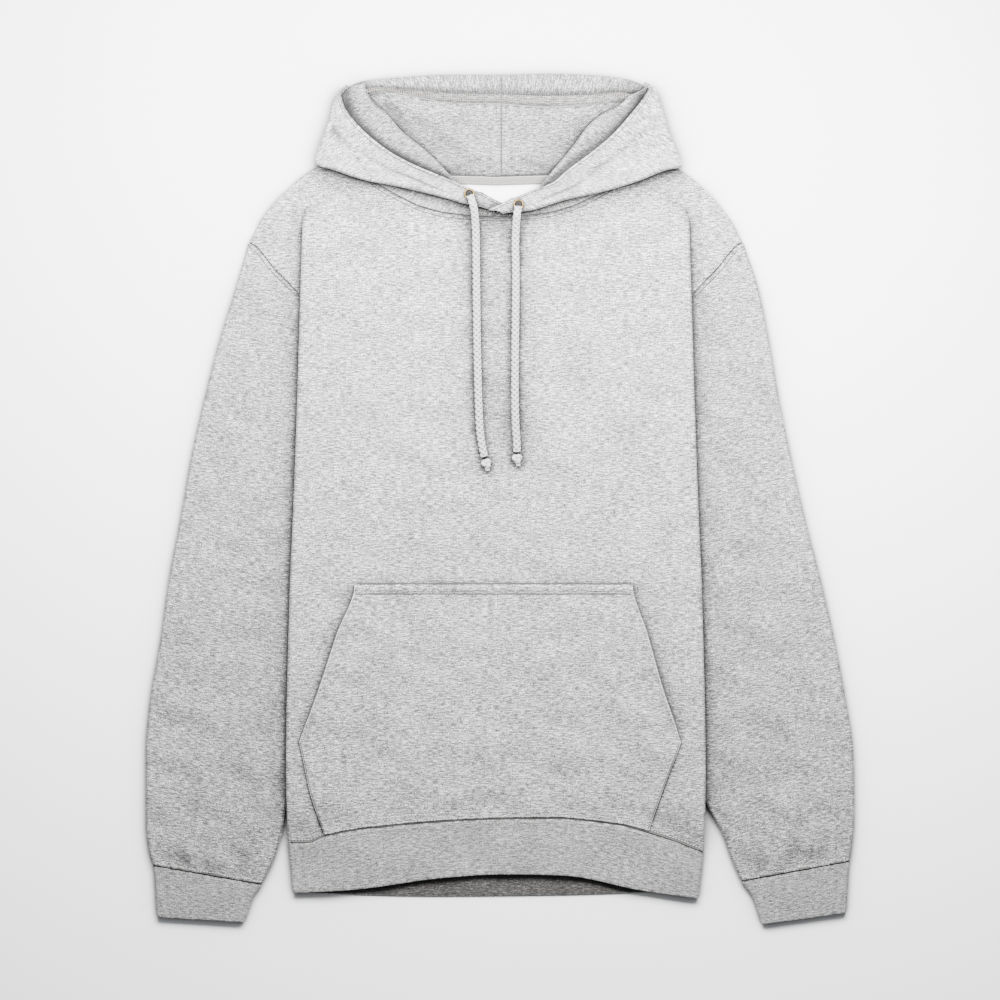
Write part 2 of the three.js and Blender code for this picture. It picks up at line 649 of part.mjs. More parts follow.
// Points of one section from legs of {from, to, low, high} and the round folds between them
function foldedSection(keys, heights, steps) {
  const radius = HOOD_STEP / 2;
  const points = [];
  heights.forEach((leg, i) => {
    const from = keys[i];
    const to = keys[i + 1];
    const along = to.clone().sub(from).normalize();
    const start = i > 0 ? from.clone().addScaledVector(along, radius) : from;
    const end = i < heights.length - 1 ? to.clone().addScaledVector(along, -radius) : to;
    for (let s = i > 0 ? 1 : 0; s <= steps[i]; s += 1) {
      const share = s / steps[i];
      const at = start.clone().lerp(end, share);
      points.push(new THREE.Vector3(at.x, at.y, leg(share)));
    }
    if (i === heights.length - 1) return;
    const nextAlong = keys[i + 2].clone().sub(to).normalize();
    const nextStart = to.clone().addScaledVector(nextAlong, radius);
    const low = leg(1);
    const high = heights[i + 1](0);
    for (let s = 1; s <= FOLD_STEPS; s += 1) {
      const angle = Math.PI * (s / FOLD_STEPS - 0.5);
      const base = end.clone().lerp(nextStart, s / FOLD_STEPS);
      const bulge = along.clone().sub(nextAlong).normalize().multiplyScalar(radius * Math.cos(angle));
      const z = lerp(low, high, (1 + Math.sin(angle)) / 2);
      points.push(new THREE.Vector3(base.x + bulge.x, base.y + bulge.y, z));
    }
  });
  return points;
}

// Stations between the table's rows, so that the folds run in smooth curves
function stations(rows, columns, times) {
  const numbered = rows.map((row, i) => ({ ...row, i }));
  const count = (rows.length - 1) * times;
  return Array.from({ length: count + 1 }, (_, s) => {
    const at = s / times;
    return Object.fromEntries(columns.map((name) => [name, curve(numbered, "i", name)(at)]));
  });
}

// Point of the hood's neck seam, beside the straight runs between the body's columns
function neckPoint(x, top) {
  const share = Math.abs(x - MIDDLE) / NECK_SIDE;
  const next = Math.max(FACE_SHARES.findIndex((end) => end >= share), 1);
  const [from, to] = [FACE_SHARES[next - 1], FACE_SHARES[next]];
  const y = lerp(top(from * NECK_SIDE), top(to * NECK_SIDE), (share - from) / (to - from));
  return new THREE.Vector2(x, y + NECK_SEAM);
}

const HOOD_BACK_COLUMNS = ["nx", "kx", "ky", "kz", "rx", "ry", "rz"];
const HOOD_SIDE_COLUMNS = ["nx", "ux", "uy", "lx", "ly", "lz", "rx", "ry"];
const RIDGE = { rise: [0.35, 0.7, 0.82, 0.92, 1], drop: 8, brim: 0.35 };
const FALL = 26; // over which the side's upper layers come down to their outer fold

// Points of the hood's back stretch: flat from the neck seam, up to the ridge, down, and up to the rim
function hoodBackGrid(rows) {
  return stations(rows, HOOD_BACK_COLUMNS, 2).map((row) => {
    const neck = neckPoint(row.nx, backTop);
    const ridge = new THREE.Vector2(row.kx, row.ky);
    const rim = new THREE.Vector2(row.rx, row.ry);
    const foot = rim.clone().sub(ridge).setLength(RIDGE.drop).add(ridge);
    const up = RIDGE.rise.map((share) => {
      const at = neck.clone().lerp(ridge, share);
      return new THREE.Vector3(at.x, at.y, lerp(HOOD_LOW, row.kz, ease((share - RIDGE.rise[1]) / (1 - RIDGE.rise[1]))));
    });
    const brim = [0, 0.3, 0.55, 0.78, 1].map((share) => {
      const at = foot.clone().lerp(rim, share);
      return new THREE.Vector3(at.x, at.y, lerp(HOOD_LOW, row.rz, ease((share - RIDGE.brim) / (1.2 - RIDGE.brim))));
    });
    const middle = up.at(-1).clone().lerp(brim[0], 0.5);
    return [new THREE.Vector3(neck.x, neck.y, HOOD_LOW), ...up, middle, ...brim];
  });
}

function hoodSideGrid(rows) {
  return stations(rows, HOOD_SIDE_COLUMNS, 1).map((row) => {
    const keys = [
      neckPoint(row.nx, frontTop),
      new THREE.Vector2(row.ux, row.uy),
      new THREE.Vector2(row.lx, row.ly),
      new THREE.Vector2(row.rx, row.ry),
    ];
    const [middleLength, upperLength] = [keys[1].distanceTo(keys[2]), keys[2].distanceTo(keys[3])];
    const fall = Math.min(FALL, middleLength);
    const second = NECK_HEIGHT + HOOD_STEP;
    const offFold = (distance) => lerp(row.lz, Math.max(second, row.lz), ease(distance / fall));
    const heights = [
      () => NECK_HEIGHT,
      (share) => (row.lz > second ? lerp(second, row.lz, ease(share)) : offFold((1 - share) * middleLength)),
      (share) => offFold(share * upperLength) + HOOD_STEP,
    ];
    return foldedSection(keys, heights, [3, 5, 4]);
  });
}

// Drawcord, its knot, and the metal eyelet that it leaves
function cordGeometry(route) {
  const section = new THREE.Shape();
  const sides = 8;
  for (let i = 0; i < sides; i += 1) {
    const angle = (2 * Math.PI * i) / sides;
    section[i ? "lineTo" : "moveTo"]((CORD / 2) * Math.cos(angle), (CORD / 2) * Math.sin(angle));
  }
  const path = new THREE.CatmullRomCurve3(route.map((point) => new THREE.Vector3(...point)));
  return new THREE.ExtrudeGeometry(section, { steps: 26, extrudePath: path, bevelEnabled: false });
}

function knotGeometry() {
  const ball = new THREE.SphereGeometry(KNOT.radius, 10, 7);
  return ball.scale(1, KNOT.length / KNOT.radius, 1);
}

function eyeletGeometry() {
  const half = EYELET.thick / 2;
  const bevel = 0.3;
  const profile = [
    [EYELET.inner, -half],
    [EYELET.outer, -half],
    [EYELET.outer, half - bevel],
    [EYELET.outer - bevel, half],
    [EYELET.inner + bevel, half],
    [EYELET.inner, half - bevel],
    [EYELET.inner, -half],
  ];
  const points = profile.map(([radius, z]) => new THREE.Vector2(radius, z));
  return new THREE.LatheGeometry(points, 16).rotateX(Math.PI / 2);
}

// Materials
const marl = new THREE.MeshStandardMaterial({ color: 0xc9c9ca, roughness: 0.95 });
const lining = new THREE.MeshStandardMaterial({ color: 0xc3c3c5, roughness: 0.95 });
const rib = new THREE.MeshStandardMaterial({ color: 0xb5b5b7, roughness: 0.95 });
const tape = new THREE.MeshStandardMaterial({ color: 0xd6d1c8, roughness: 0.9 });
const cotton = new THREE.MeshStandardMaterial({ color: 0xdadada, roughness: 0.9 });
const brass = new THREE.MeshStandardMaterial({ color: 0xb08d4f, roughness: 0.3, metalness: 1 });

const hoodie = new THREE.Group();

function add(name, geometry, material) {
  const mesh = new THREE.Mesh(geometry, material);
  mesh.name = name;
  hoodie.add(mesh);
  return mesh;
}

const frontGrid = bodyGrid(FRONT_LEVELS, frontHemSeam, frontTop);
add("front_panel", wall(frontGrid, WALL), marl);
add("back_panel", wall(bodyGrid(BACK_LEVELS, backHemSeam, backTop), WALL), marl);
add("sleeve_left", wall(sleeveGrid(SLEEVE_LEFT, -1), WALL, 0, true), marl);
add("sleeve_right", wall(sleeveGrid(SLEEVE_RIGHT, 1), WALL, 0, true), marl);
add("cuff_left", wall(cuffGrid(CUFF_LEFT), RIB_WALL, 0, true), rib);
add("cuff_right", wall(cuffGrid(CUFF_RIGHT), RIB_WALL, 0, true), rib);
add("hem_band", wall(hemGrid(), RIB_WALL, 0, true), rib);
add("kangaroo_pocket", wall(pocketGrid(frontGrid), WALL, WALL + SEAM), marl);
add("neck_tape", wall(tapeGrid(), TAPE.thick), tape);

// In both hood grids the outer cloth lies on one side of the doubled middle and the lining on the other
const clothOffset = (HOOD_WALL + SEAM) / 2;
const HOODS = [
  { side: "left", back: HOOD_BACK_LEFT, front: HOOD_SIDE_LEFT, turn: 1 },
  { side: "right", back: HOOD_BACK_RIGHT, front: HOOD_SIDE_RIGHT, turn: -1 },
];
HOODS.forEach(({ side, back, front, turn }) => {
  const backGrid = hoodBackGrid(back);
  const sideGrid = hoodSideGrid(front);
  add(`hood_back_outer_${side}`, wall(backGrid, HOOD_WALL, -turn * clothOffset), marl);
  add(`hood_back_lining_${side}`, wall(backGrid, HOOD_WALL, turn * clothOffset), lining);
  add(`hood_side_outer_${side}`, wall(sideGrid, HOOD_WALL, -turn * clothOffset), marl);
  add(`hood_side_lining_${side}`, wall(sideGrid, HOOD_WALL, turn * clothOffset), lining);
});

[
  { side: "left", route: CORD_LEFT },
  { side: "right", route: CORD_RIGHT },
].forEach(({ side, route }) => {
  const eyelet = add(`eyelet_${side}`, eyeletGeometry(), brass);
  const seat = EYELETS[side];
  eyelet.position.set(seat.x, seat.y, seat.z + EYELET.clear + EYELET.thick / 2);
  add(`drawcord_${side}`, cordGeometry(route), cotton);
  const knot = add(`cord_knot_${side}`, knotGeometry(), cotton);
  knot.position.set(KNOTS[side].x, KNOTS[side].y, KNOTS[side].z);
  knot.rotation.z = KNOTS[side].turn;
});

hoodie.children.forEach((mesh) => {
  mesh.position.y -= CENTRE_Y;
});

export default hoodie;
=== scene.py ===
"""Looks of a pullover hoodie in grey marl fleece, laid flat on its back.

The cloth is worked out in millimetres, x to the right, y from hem to hood, z up from the surface
it lies on, and goes into Blender in metres. Every panel is a grid of points of the same form as its
solid, with the creases laid in one by one.
"""

import math

import bmesh
import bpy
import numpy as np
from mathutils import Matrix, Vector
from mathutils.bvhtree import BVHTree


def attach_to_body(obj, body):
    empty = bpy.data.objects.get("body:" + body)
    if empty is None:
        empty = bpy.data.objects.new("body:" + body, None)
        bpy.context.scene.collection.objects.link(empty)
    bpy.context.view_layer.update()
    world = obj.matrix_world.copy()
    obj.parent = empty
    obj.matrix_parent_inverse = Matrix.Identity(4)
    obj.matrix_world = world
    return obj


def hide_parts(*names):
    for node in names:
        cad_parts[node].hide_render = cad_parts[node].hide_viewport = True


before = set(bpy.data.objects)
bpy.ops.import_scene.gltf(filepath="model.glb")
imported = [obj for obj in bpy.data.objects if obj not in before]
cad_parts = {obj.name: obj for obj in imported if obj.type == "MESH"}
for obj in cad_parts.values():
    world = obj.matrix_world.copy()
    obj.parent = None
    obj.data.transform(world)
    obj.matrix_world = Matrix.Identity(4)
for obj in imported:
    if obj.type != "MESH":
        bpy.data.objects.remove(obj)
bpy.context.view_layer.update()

MM = 0.001
PIXEL = 0.96  # millimetres of cloth to a picture element of the view from above
CENTRE_Y = 1.5  # how far the laid garment is moved towards the hem to centre it
WALL = 1.6
HOOD_WALL = 1.4
RIB_WALL = 2.0
SEAM = 0.3
RIB_SEAM = 0.7
NECK_SEAM = 0.8
ARMHOLE_SEAM = 0.5
STEP = 1.95  # from one flat layer to the next
HOOD_STEP = 3.4
LOFT = 3.4
MIDDLE = -4.0
HEM_SIDE = -327.0
SHOULDER = 311.0
BODY_LENGTH = SHOULDER - HEM_SIDE
LOW = WALL / 2
HOOD_LOW = HOOD_WALL + SEAM / 2
CHEST_HEIGHT = 6.0
NECK_HEIGHT = 4.95
NECK_SIDE = 145.0
UNDERARM = 0.6325
POCKET_UP, POCKET_Y = 0.39, -80.0
PLEAT_TOP, PLEAT_FULL, PLEAT_FOOT, PLEAT_DEPTH = 0.955, 0.92, 0.735, 58.0
CORD = 6.5
BODY_RELIEF, SLEEVE_RELIEF, HOOD_RELIEF = 1.9, 1.1, 1.5  # how strongly the creases stand out
SIDE_SWELL = 3.8  # how much higher the body's side folds stand than the layers need


def table(columns, *rows):
    """A table with named columns."""
    return dict(zip(columns.split(), np.array(rows, float).T))


# Half widths of the body at each share of the way from hem to shoulder
SIDE_FOLD = table(
    "up half",
    (0, 198.5), (0.11, 200), (0.38, 196.5), (0.49, 193.5), (0.64, 190), (0.82, 186.5), (1, 183),
)
SIDE_SEAM = table(
    "up half",
    (0, 192), (0.056, 189), (0.14, 173), (0.25, 151.5), (0.386, 131.5), (0.525, 113), (UNDERARM, 97.8),
)
ARMHOLE = table(
    "up half",
    (UNDERARM, 97.8), (0.694, 113), (0.728, 130.4), (0.763, 159), (0.823, 186.6), (0.906, 214.9),
    (1, 236),
)
# Edges that run across the body
FRONT_HEM_SEAM = table(
    "x y",
    (-202, -327), (-184, -327), (-168, -321), (-122, -313), (-12, -305), (47, -304), (112, -310),
    (166, -325), (196, -337),
)
BACK_HEM_SEAM = table("x y", (-202, -327), (0, -330), (196, -337))
FRONT_HEM_EDGE = table(
    "x y",
    (-199, -376), (-144, -373), (-50, -361), (4, -358), (58, -359), (139, -374), (190, -381),
)
BACK_HEM_EDGE = table("x y", (-199, -376), (-60, -379), (50, -378), (147, -376), (190, -381))
FRONT_TOP = table(
    "out y",
    (0, 272), (24, 273), (48, 275.5), (73, 282), (92, 291), (120, 308), (145, 335), (173, 320),
    (188, 309), (207, 291), (225, 269), (236, 248),
)
BACK_TOP = table(
    "out y",
    (0, 311), (80, 314), (120, 322), (145, 335), (173, 320), (188, 309), (207, 291), (225, 269),
    (236, 248),
)
POCKET_EDGE = table(
    "up left right",
    (0, 164, 146), (0.078, 178, 161), (0.147, 187.2, 176), (0.152, 188, 177), (0.157, 187, 176),
    (0.23, 169, 159.5), (0.312, 152, 145), (POCKET_UP, 135, 131), (1, 145, 145),
)
# Sleeves, a row for each section from armhole to cuff: outer and inner edge
SLEEVE_LEFT = table(
    "ox oy ix iy",
    (-240, 248, -101.8, 68.6), (-253, 203, -116, 44), (-268, 155, -128, 11), (-283, 97, -137, -28),
    (-296, 39, -146, -71), (-306, -18, -156, -114), (-317, -76, -166, -157), (-325, -133, -177, -196),
    (-335, -191, -188, -234), (-339, -239, -199, -268), (-339, -277, -206, -292),
    (-339, -306, -210, -318), (-337, -330, -218, -345), (-332, -349, -229, -367),
)
SLEEVE_RIGHT = table(
    "ox oy ix iy",
    (232, 248, 93.8, 68.6), (247, 203, 108, 44), (257, 155, 120, 11), (267, 97, 129, -28),
    (279, 39, 138, -71), (292, -18, 148, -114), (307, -76, 158, -157), (320, -133, 169, -196),
    (331, -191, 180, -234), (338, -239, 191, -268), (339, -277, 200, -292), (339, -306, 213.5, -318),
    (337, -330, 223.5, -345), (335, -345, 232, -364),
)
CUFF_LEFT = table(
    "ox oy ix iy",
    (-331, -350, -229, -368), (-330, -366, -237, -379), (-328, -399, -246, -404),
)
CUFF_RIGHT = table(
    "ox oy ix iy",
    (334, -346, 232, -365), (333, -362, 242, -378), (331, -395, 252, -406),
)
# Hood, from the centre back to the corner: n neck seam, k ridge, r rim
HOOD_BACK_LEFT = table(
    "nx kx ky kz rx ry rz",
    (0.8, 0.8, 378, 5.2, 0.8, 408, 5), (-52, -46, 379, 5.2, -48, 408, 5),
    (-100, -88, 387, 4.6, -97, 405, 4.6), (-125.8, -111, 393, 2.4, -130, 402, 2.6),
    (-147, -131, 388, 1.55, -146, 397, 1.6),
)
HOOD_BACK_RIGHT = table(
    "nx kx ky kz rx ry rz",
    (1.2, 1.2, 378, 5.2, 1.2, 408, 5), (48, 46, 375, 5.2, 48, 409, 5),
    (92, 88, 378, 3.2, 96, 407, 4.6), (117.8, 110, 383, 1.7, 122, 404, 2.6),
    (139, 126, 382, 1.55, 139, 398, 1.6),
)
# Hood, from the corner round to the front tip: u inner fold, l outer fold, r rim
HOOD_SIDE_LEFT = table(
    "nx ux uy lx ly lz rx ry",
    (-147, -131, 400, -150, 394, 5, -146, 398), (-147, -131, 397, -157, 386, 6, -153, 391),
    (-141, -124, 382, -162, 367, 4.5, -149, 377), (-134, -110, 370, -170, 345, 4.5, -139, 363),
    (-125.8, -95, 353, -176, 325, 6, -126, 350), (-114, -75, 337, -158, 318, 8, -102, 332),
    (-102.6, -61, 324, -127, 308, 8.35, -79, 320), (-79.4, -48, 310, -96, 302, 8.35, -57, 311),
    (-56.2, -36, 297, -58, 293, 8.35, -33, 301), (-30.1, -20, 288, -33, 286, 8.35, -14, 293),
    (-14, -9.5, 283, -16, 282.5, 8.35, -5, 288.5), (-4, -1, 280, -5, 278.5, 7.2, 4, 284.5),
)
HOOD_SIDE_RIGHT = table(
    "nx ux uy lx ly lz rx ry",
    (139, 126, 389, 143, 397.5, 5, 138, 400.5), (139, 126, 388, 149, 391, 6, 143, 396),
    (133, 114, 377, 154, 376, 4.5, 137, 385), (126, 98, 369, 161, 353, 4.5, 125, 370),
    (117.8, 86, 359, 173, 322, 6, 108, 351), (106, 72, 340, 158, 318, 8, 88, 334),
    (94.6, 57, 322, 130, 307, 8.35, 65, 317), (71.4, 46, 309, 96, 297, 8.35, 50, 304.5),
    (48.2, 32, 293, 62, 289.5, 8.35, 29, 296.5), (22.1, 15, 285, 26, 279, 8.6, 8, 287.5),
    (-8, 5, 282, 1.5, 277.5, 11.6, -11, 278),
)
# Creases of the laid cloth: the two ends, half width, height (a trough is below 0), and bow
CREASE = "x0 y0 x1 y1 wide high bow"
FRONT_CREASES = table(
    CREASE,
    (-150, 255, -120, 150, 16, 0.9, 8), (-172, 190, -160, 60, 14, -0.7, 4),
    (-120, 280, -60, 200, 18, -0.8, -8), (120, 270, 80, 190, 18, -0.8, 8),
    (165, 230, 150, 120, 15, 0.8, -6), (150, 90, 110, -40, 20, -0.6, 8),
    (-140, 20, -90, -60, 22, 0.6, 6), (-30, 120, 30, 40, 30, -0.5, 10),
    (60, 60, 120, -20, 22, 0.6, -8), (-188, -40, -170, -150, 9, 0.7, 3),
    (182, -60, 168, -170, 9, 0.7, -3), (-186, 60, -182, -20, 7, -0.6, 0),
    (178, 90, 176, -30, 7, -0.6, 0), (-178, 262, -140, 300, 14, 0.9, 3),
    (168, 262, 132, 300, 14, 0.9, -3), (-205, 290, -214, 240, 9, 1.6, 2),
    (198, 290, 206, 240, 9, 1.5, -2), (-232, 262, -214, 296, 9, 1.0, 3),
    (228, 262, 208, 296, 9, 1.0, -3), (-186, 232, -130, 250, 7, 0.8, 4),
    (180, 222, 120, 236, 8, 0.8, -4),
)
POCKET_CREASES = table(
    CREASE,
    (36, -158, 44, -236, 10, -1.8, 3), (54, -150, 62, -232, 10, 1.5, 3),
    (-120, -110, -90, -220, 18, 1.0, 6), (96, -112, 118, -206, 15, 1.2, -5),
    (-60, -150, -20, -230, 20, -0.9, 8), (120, -190, 96, -290, 12, 1.2, 5),
    (-150, -230, -112, -300, 11, -1.1, -4), (70, -240, 112, -282, 9, 1.2, -4),
    (20, -280, 80, -262, 8, -1.0, 3), (-60, -292, 0, -276, 8, 1.0, 3),
    (-130, -105, -60, -98, 8, -0.8, 2), (60, -98, 120, -104, 8, 0.9, 2),
)
SLEEVE_CREASES_LEFT = table(
    CREASE,
    (-236, 228, -222, 130, 12, 0.9, 6), (-262, 120, -248, -30, 16, -0.9, -8),
    (-222, 60, -236, -90, 13, 0.9, 6), (-290, -20, -268, -170, 15, 0.9, 6),
    (-240, -120, -262, -270, 14, -1.0, -6), (-312, -150, -300, -290, 12, -0.8, 4),
    (-222, -240, -246, -330, 11, 1.3, 5), (-282, -250, -272, -335, 12, 1.3, -4),
    (-322, -290, -312, -343, 8, 1.6, 2), (-298, -322, -294, -352, 5, 1.5, 0),
    (-270, -332, -262, -350, 8, 1.9, -2), (-246, -338, -248, -362, 4, -1.6, 0),
    (-284, -336, -282, -358, 4, -1.6, 0), (-309, -330, -306, -351, 4, -1.5, 0),
    (-214, -60, -212, -140, 8, -0.7, 2), (-252, -346, -262, -362, 4, 1.5, 0),
    (-234, -345, -240, -362, 4, 1.2, 0), (-318, -335, -250, -350, 6, 0.9, 3),
)
SLEEVE_CREASES_RIGHT = table(
    CREASE,
    (228, 226, 212, 120, 12, 0.9, -6), (250, 130, 240, 0, 15, -0.9, 7),
    (214, 40, 232, -100, 13, 0.9, -6), (280, -10, 262, -150, 15, 0.9, -6),
    (232, -110, 250, -250, 14, -1.0, 6), (312, -140, 300, -280, 12, -0.8, -4),
    (226, -230, 240, -320, 11, 1.3, -5), (286, -230, 270, -330, 12, 1.3, 4),
    (322, -290, 316, -336, 8, 1.6, -2), (298, -312, 294, -342, 6, 1.9, 0),
    (270, -322, 266, -350, 6, 1.6, 2), (250, -332, 252, -358, 4, -1.6, 0),
    (283, -326, 282, -352, 4, -1.6, 0), (208, -50, 204, -150, 8, -0.7, -2),
    (312, -322, 310, -345, 4, -1.5, 0), (242, -338, 246, -358, 4, 1.4, 0),
    (262, -345, 260, -360, 4, 1.2, 0), (320, -328, 254, -342, 6, 0.9, -3),
)
HOOD_CREASES = table(
    CREASE,
    (-166, 366, -128, 318, 3.5, -1.1, -3), (-160, 384, -112, 326, 3, 0.8, -4),
    (-150, 340, -100, 316, 4, 0.8, -2), (-120, 345, -128, 318, 6, -0.6, 1),
    (-108, 332, -60, 306, 3.5, -0.8, 2), (158, 350, 108, 322, 5, -0.9, 4),
    (152, 374, 122, 350, 4, 0.8, 2), (140, 330, 96, 308, 6, 0.7, -2),
    (100, 322, 54, 298, 3.5, -0.7, -3), (-118, 366, -98, 336, 4, -0.7, 2),
    (-122, 378, -100, 360, 3, 0.6, 1), (-92, 334, -78, 326, 3.5, 0.9, 1),
    (112, 366, 84, 336, 4, -0.6, -2),
)
LINING_CREASES = table(
    CREASE,
    (-80, 374, -30, 345, 9, 1.6, 4), (-52, 368, -34, 358, 6, -1.4, -2), (24, 366, 60, 345, 9, 1.3, -4),
    (-66, 345, -36, 320, 8, -1.6, 3), (60, 372, 80, 345, 7, -1.2, 2), (-20, 345, 30, 338, 9, 1.2, 2),
    (-112, 380, -96, 366, 6, -1.5, 1), (-40, 321, 46, 319, 6, -1.6, 0),
)
CORD_LEFT = [
    (-28.6, 291.5, 18.9), (-26.6, 286, 20.2), (-24.6, 278, 17.6), (-23.6, 268, 13.2), (-23, 254, 10.9),
    (-22.7, 225, 10.6), (-22, 160, 10.6), (-20.5, 95, 10.6), (-19, 66, 10.6), (-16.6, 50, 10.6),
    (-14.9, 42.6, 10.6),
]
CORD_RIGHT = [
    (17.3, 281.2, 20), (16.5, 275, 20.7), (15.7, 267, 16.6), (15.1, 257, 12.6), (14.8, 245, 10.9),
    (15.2, 215, 10.6), (14.6, 150, 10.6), (14.4, 100, 10.6), (15, 72, 10.6), (16, 58, 10.6),
    (16.3, 47.2, 10.6),
]
KNOTS = {"left": (-13, 35.9, 12.5, 0.3), "right": (16.4, 40.5, 12.5, 0.05)}
EYELETS = {"left": (-29.4, 293.8), "right": (17.7, 283.5)}


# Curves and steps

def ease(t):
    s = np.clip(t, 0, 1)
    return s * s * (3 - 2 * s)


def lerp(a, b, t):
    return a + (b - a) * t


def curve(rows, at, of):
    """A smooth curve through a table's rows that never overshoots them."""
    t, v = rows[at], rows[of]
    rise = np.diff(v) / np.diff(t)
    slope = np.zeros_like(v)
    slope[0], slope[-1] = rise[0], rise[-1]
    before, after = rise[:-1], rise[1:]
    same = before * after > 0
    both = np.where(same, before + after, 1)
    slope[1:-1] = np.where(same, 2 * before * after / both, 0)

    def value(x):
        x = np.asarray(x, float)
        i = np.clip(np.searchsorted(t, x) - 1, 0, len(t) - 2)
        width = t[i + 1] - t[i]
        s = np.clip((x - t[i]) / width, 0, 1)
        start = (1 + 2 * s) * (1 - s) ** 2 * v[i] + s * (1 - s) ** 2 * width * slope[i]
        return start + s * s * (3 - 2 * s) * v[i + 1] - s * s * (1 - s) * width * slope[i + 1]

    return value


fold_half = curve(SIDE_FOLD, "up", "half")
side_seam_half = curve(SIDE_SEAM, "up", "half")
armhole_half = curve(ARMHOLE, "up", "half")
front_hem_seam = curve(FRONT_HEM_SEAM, "x", "y")
back_hem_seam = curve(BACK_HEM_SEAM, "x", "y")
front_hem_edge = curve(FRONT_HEM_EDGE, "x", "y")
back_hem_edge = curve(BACK_HEM_EDGE, "x", "y")
front_top = curve(FRONT_TOP, "out", "y")
back_top = curve(BACK_TOP, "out", "y")
pocket_edge = {-1: curve(POCKET_EDGE, "up", "left"), 1: curve(POCKET_EDGE, "up", "right")}


def stations(rows, count):
    """The table's rows as count even steps of smooth curves."""
    numbered = {**rows, "i": np.arange(len(rows[next(iter(rows))]), dtype=float)}
    at = np.linspace(0, numbered["i"][-1], count)
    return {name: curve(numbered, "i", name)(at) for name in rows}


def relief(x, y, creases):
    """How far the creases raise the cloth at each place."""
    x, y = np.asarray(x, float), np.asarray(y, float)
    total = np.zeros(np.broadcast(x, y).shape)
    for i in range(len(creases["x0"])):
        x0, y0, x1, y1, wide, high, bow = (creases[name][i] for name in CREASE.split())
        along = np.array([x1 - x0, y1 - y0])
        length = np.hypot(*along)
        along = along / length
        s = ((x - x0) * along[0] + (y - y0) * along[1]) / length
        off = (x - x0) * -along[1] + (y - y0) * along[0]
        inside = np.clip(s, 0, 1)
        line = bow * 4 * inside * (1 - inside)
        ends = ease((s + 0.25) / 0.5) * ease((1.25 - s) / 0.5)
        total += high * np.exp(-(((off - line) / wide) ** 2)) * ends
    return total


WAVES = np.random.default_rng(7).uniform(size=(14, 3))
BODY_WAVES, SLEEVE_WAVES = 0.26, 0.36


def undulation(x, y, high=BODY_WAVES):
    """Broad unevenness of soft cloth."""
    total = np.zeros(np.broadcast(x, y).shape)
    for turn, size, phase in WAVES:
        angle = turn * math.pi
        wave = 2 * math.pi / (24 + 70 * size)
        total += np.sin(wave * (x * math.cos(angle) + y * math.sin(angle)) + phase * 2 * math.pi)
    return high * total


# Heights of the body's layers

def seam_half(up):
    return side_seam_half(up) if up < UNDERARM else armhole_half(up)


def pleated(up):
    return ease((PLEAT_TOP - up) / (PLEAT_TOP - PLEAT_FULL))


def sleeve_inside(up):
    return ease((up - 0.003) / 0.036)


def pleat_depth(up):
    return PLEAT_DEPTH * np.maximum(PLEAT_TOP - up, 0) / (PLEAT_TOP - PLEAT_FOOT)


def upper_flat(up):
    return LOW + STEP + LOFT * ease((1 - up) * BODY_LENGTH / 60)


def under_body(inward):
    return ease((inward + 28) / 22)


def body_up(y):
    return (y - HEM_SIDE) / BODY_LENGTH


def front_height(out, up):
    fold = fold_half(up)
    k = pleated(up)
    swell = SIDE_SWELL * k * ease(up / 0.07) * (1 - ease((fold - out - 4) / 75))
    top = lerp(upper_flat(up), LOW + STEP * (3 + 2 * sleeve_inside(up)), k)
    reach = k * np.maximum(fold - seam_half(up), pleat_depth(up) if up > PLEAT_FOOT else 0)
    middle = lerp(CHEST_HEIGHT, NECK_HEIGHT, ease((up - 0.9) / 0.07))
    return lerp(top, middle, ease((fold - out - reach - 5) / 60)) + swell


FRONT_LEVELS = {
    "face": front_height,
    "back": lambda up: LOW + STEP * (2 + 2 * sleeve_inside(up)),
    "under": lambda inward, up: lerp(upper_flat(up), LOW + 3 * STEP, pleated(up) * under_body(inward)),
    "flat": upper_flat,
    "seam_side": 1,
    "inset": 0,
}
BACK_LEVELS = {
    "face": lambda out, up: LOW + 0 * out,
    "back": lambda up: LOW + STEP,
    "under": lambda inward, up: lerp(LOW, LOW + 2 * STEP, pleated(up) * under_body(inward)),
    "flat": lambda up: LOW,
    "seam_side": -1,
    "inset": 1,
}
FACE_STEPS, SIDE_STEPS = 46, 10
FOLD_STEPS, INNER_STEPS, UNDER_STEPS, RETURN_STEPS = 8, 6, 22, 8
FACE_COUNT = FACE_STEPS + SIDE_STEPS


def fold_arc(out, start, end, side, steps):
    """Half a round fold from one level to the next, bulging to side."""
    radius = abs(start - end) / 2
    angle = math.pi * (0.5 - np.arange(steps + 1) / steps)
    x = out - side * radius + side * radius * np.cos(angle)
    z = (start + end) / 2 + np.sign(start - end) * radius * np.sin(angle)
    return np.stack([x, z], 1)


def run(start, end, steps, height):
    """Straight run of points after the first one, ending on the last."""
    out = np.linspace(start, end, steps + 1)[1:]
    return np.stack([out, height(out) + 0 * out], 1)


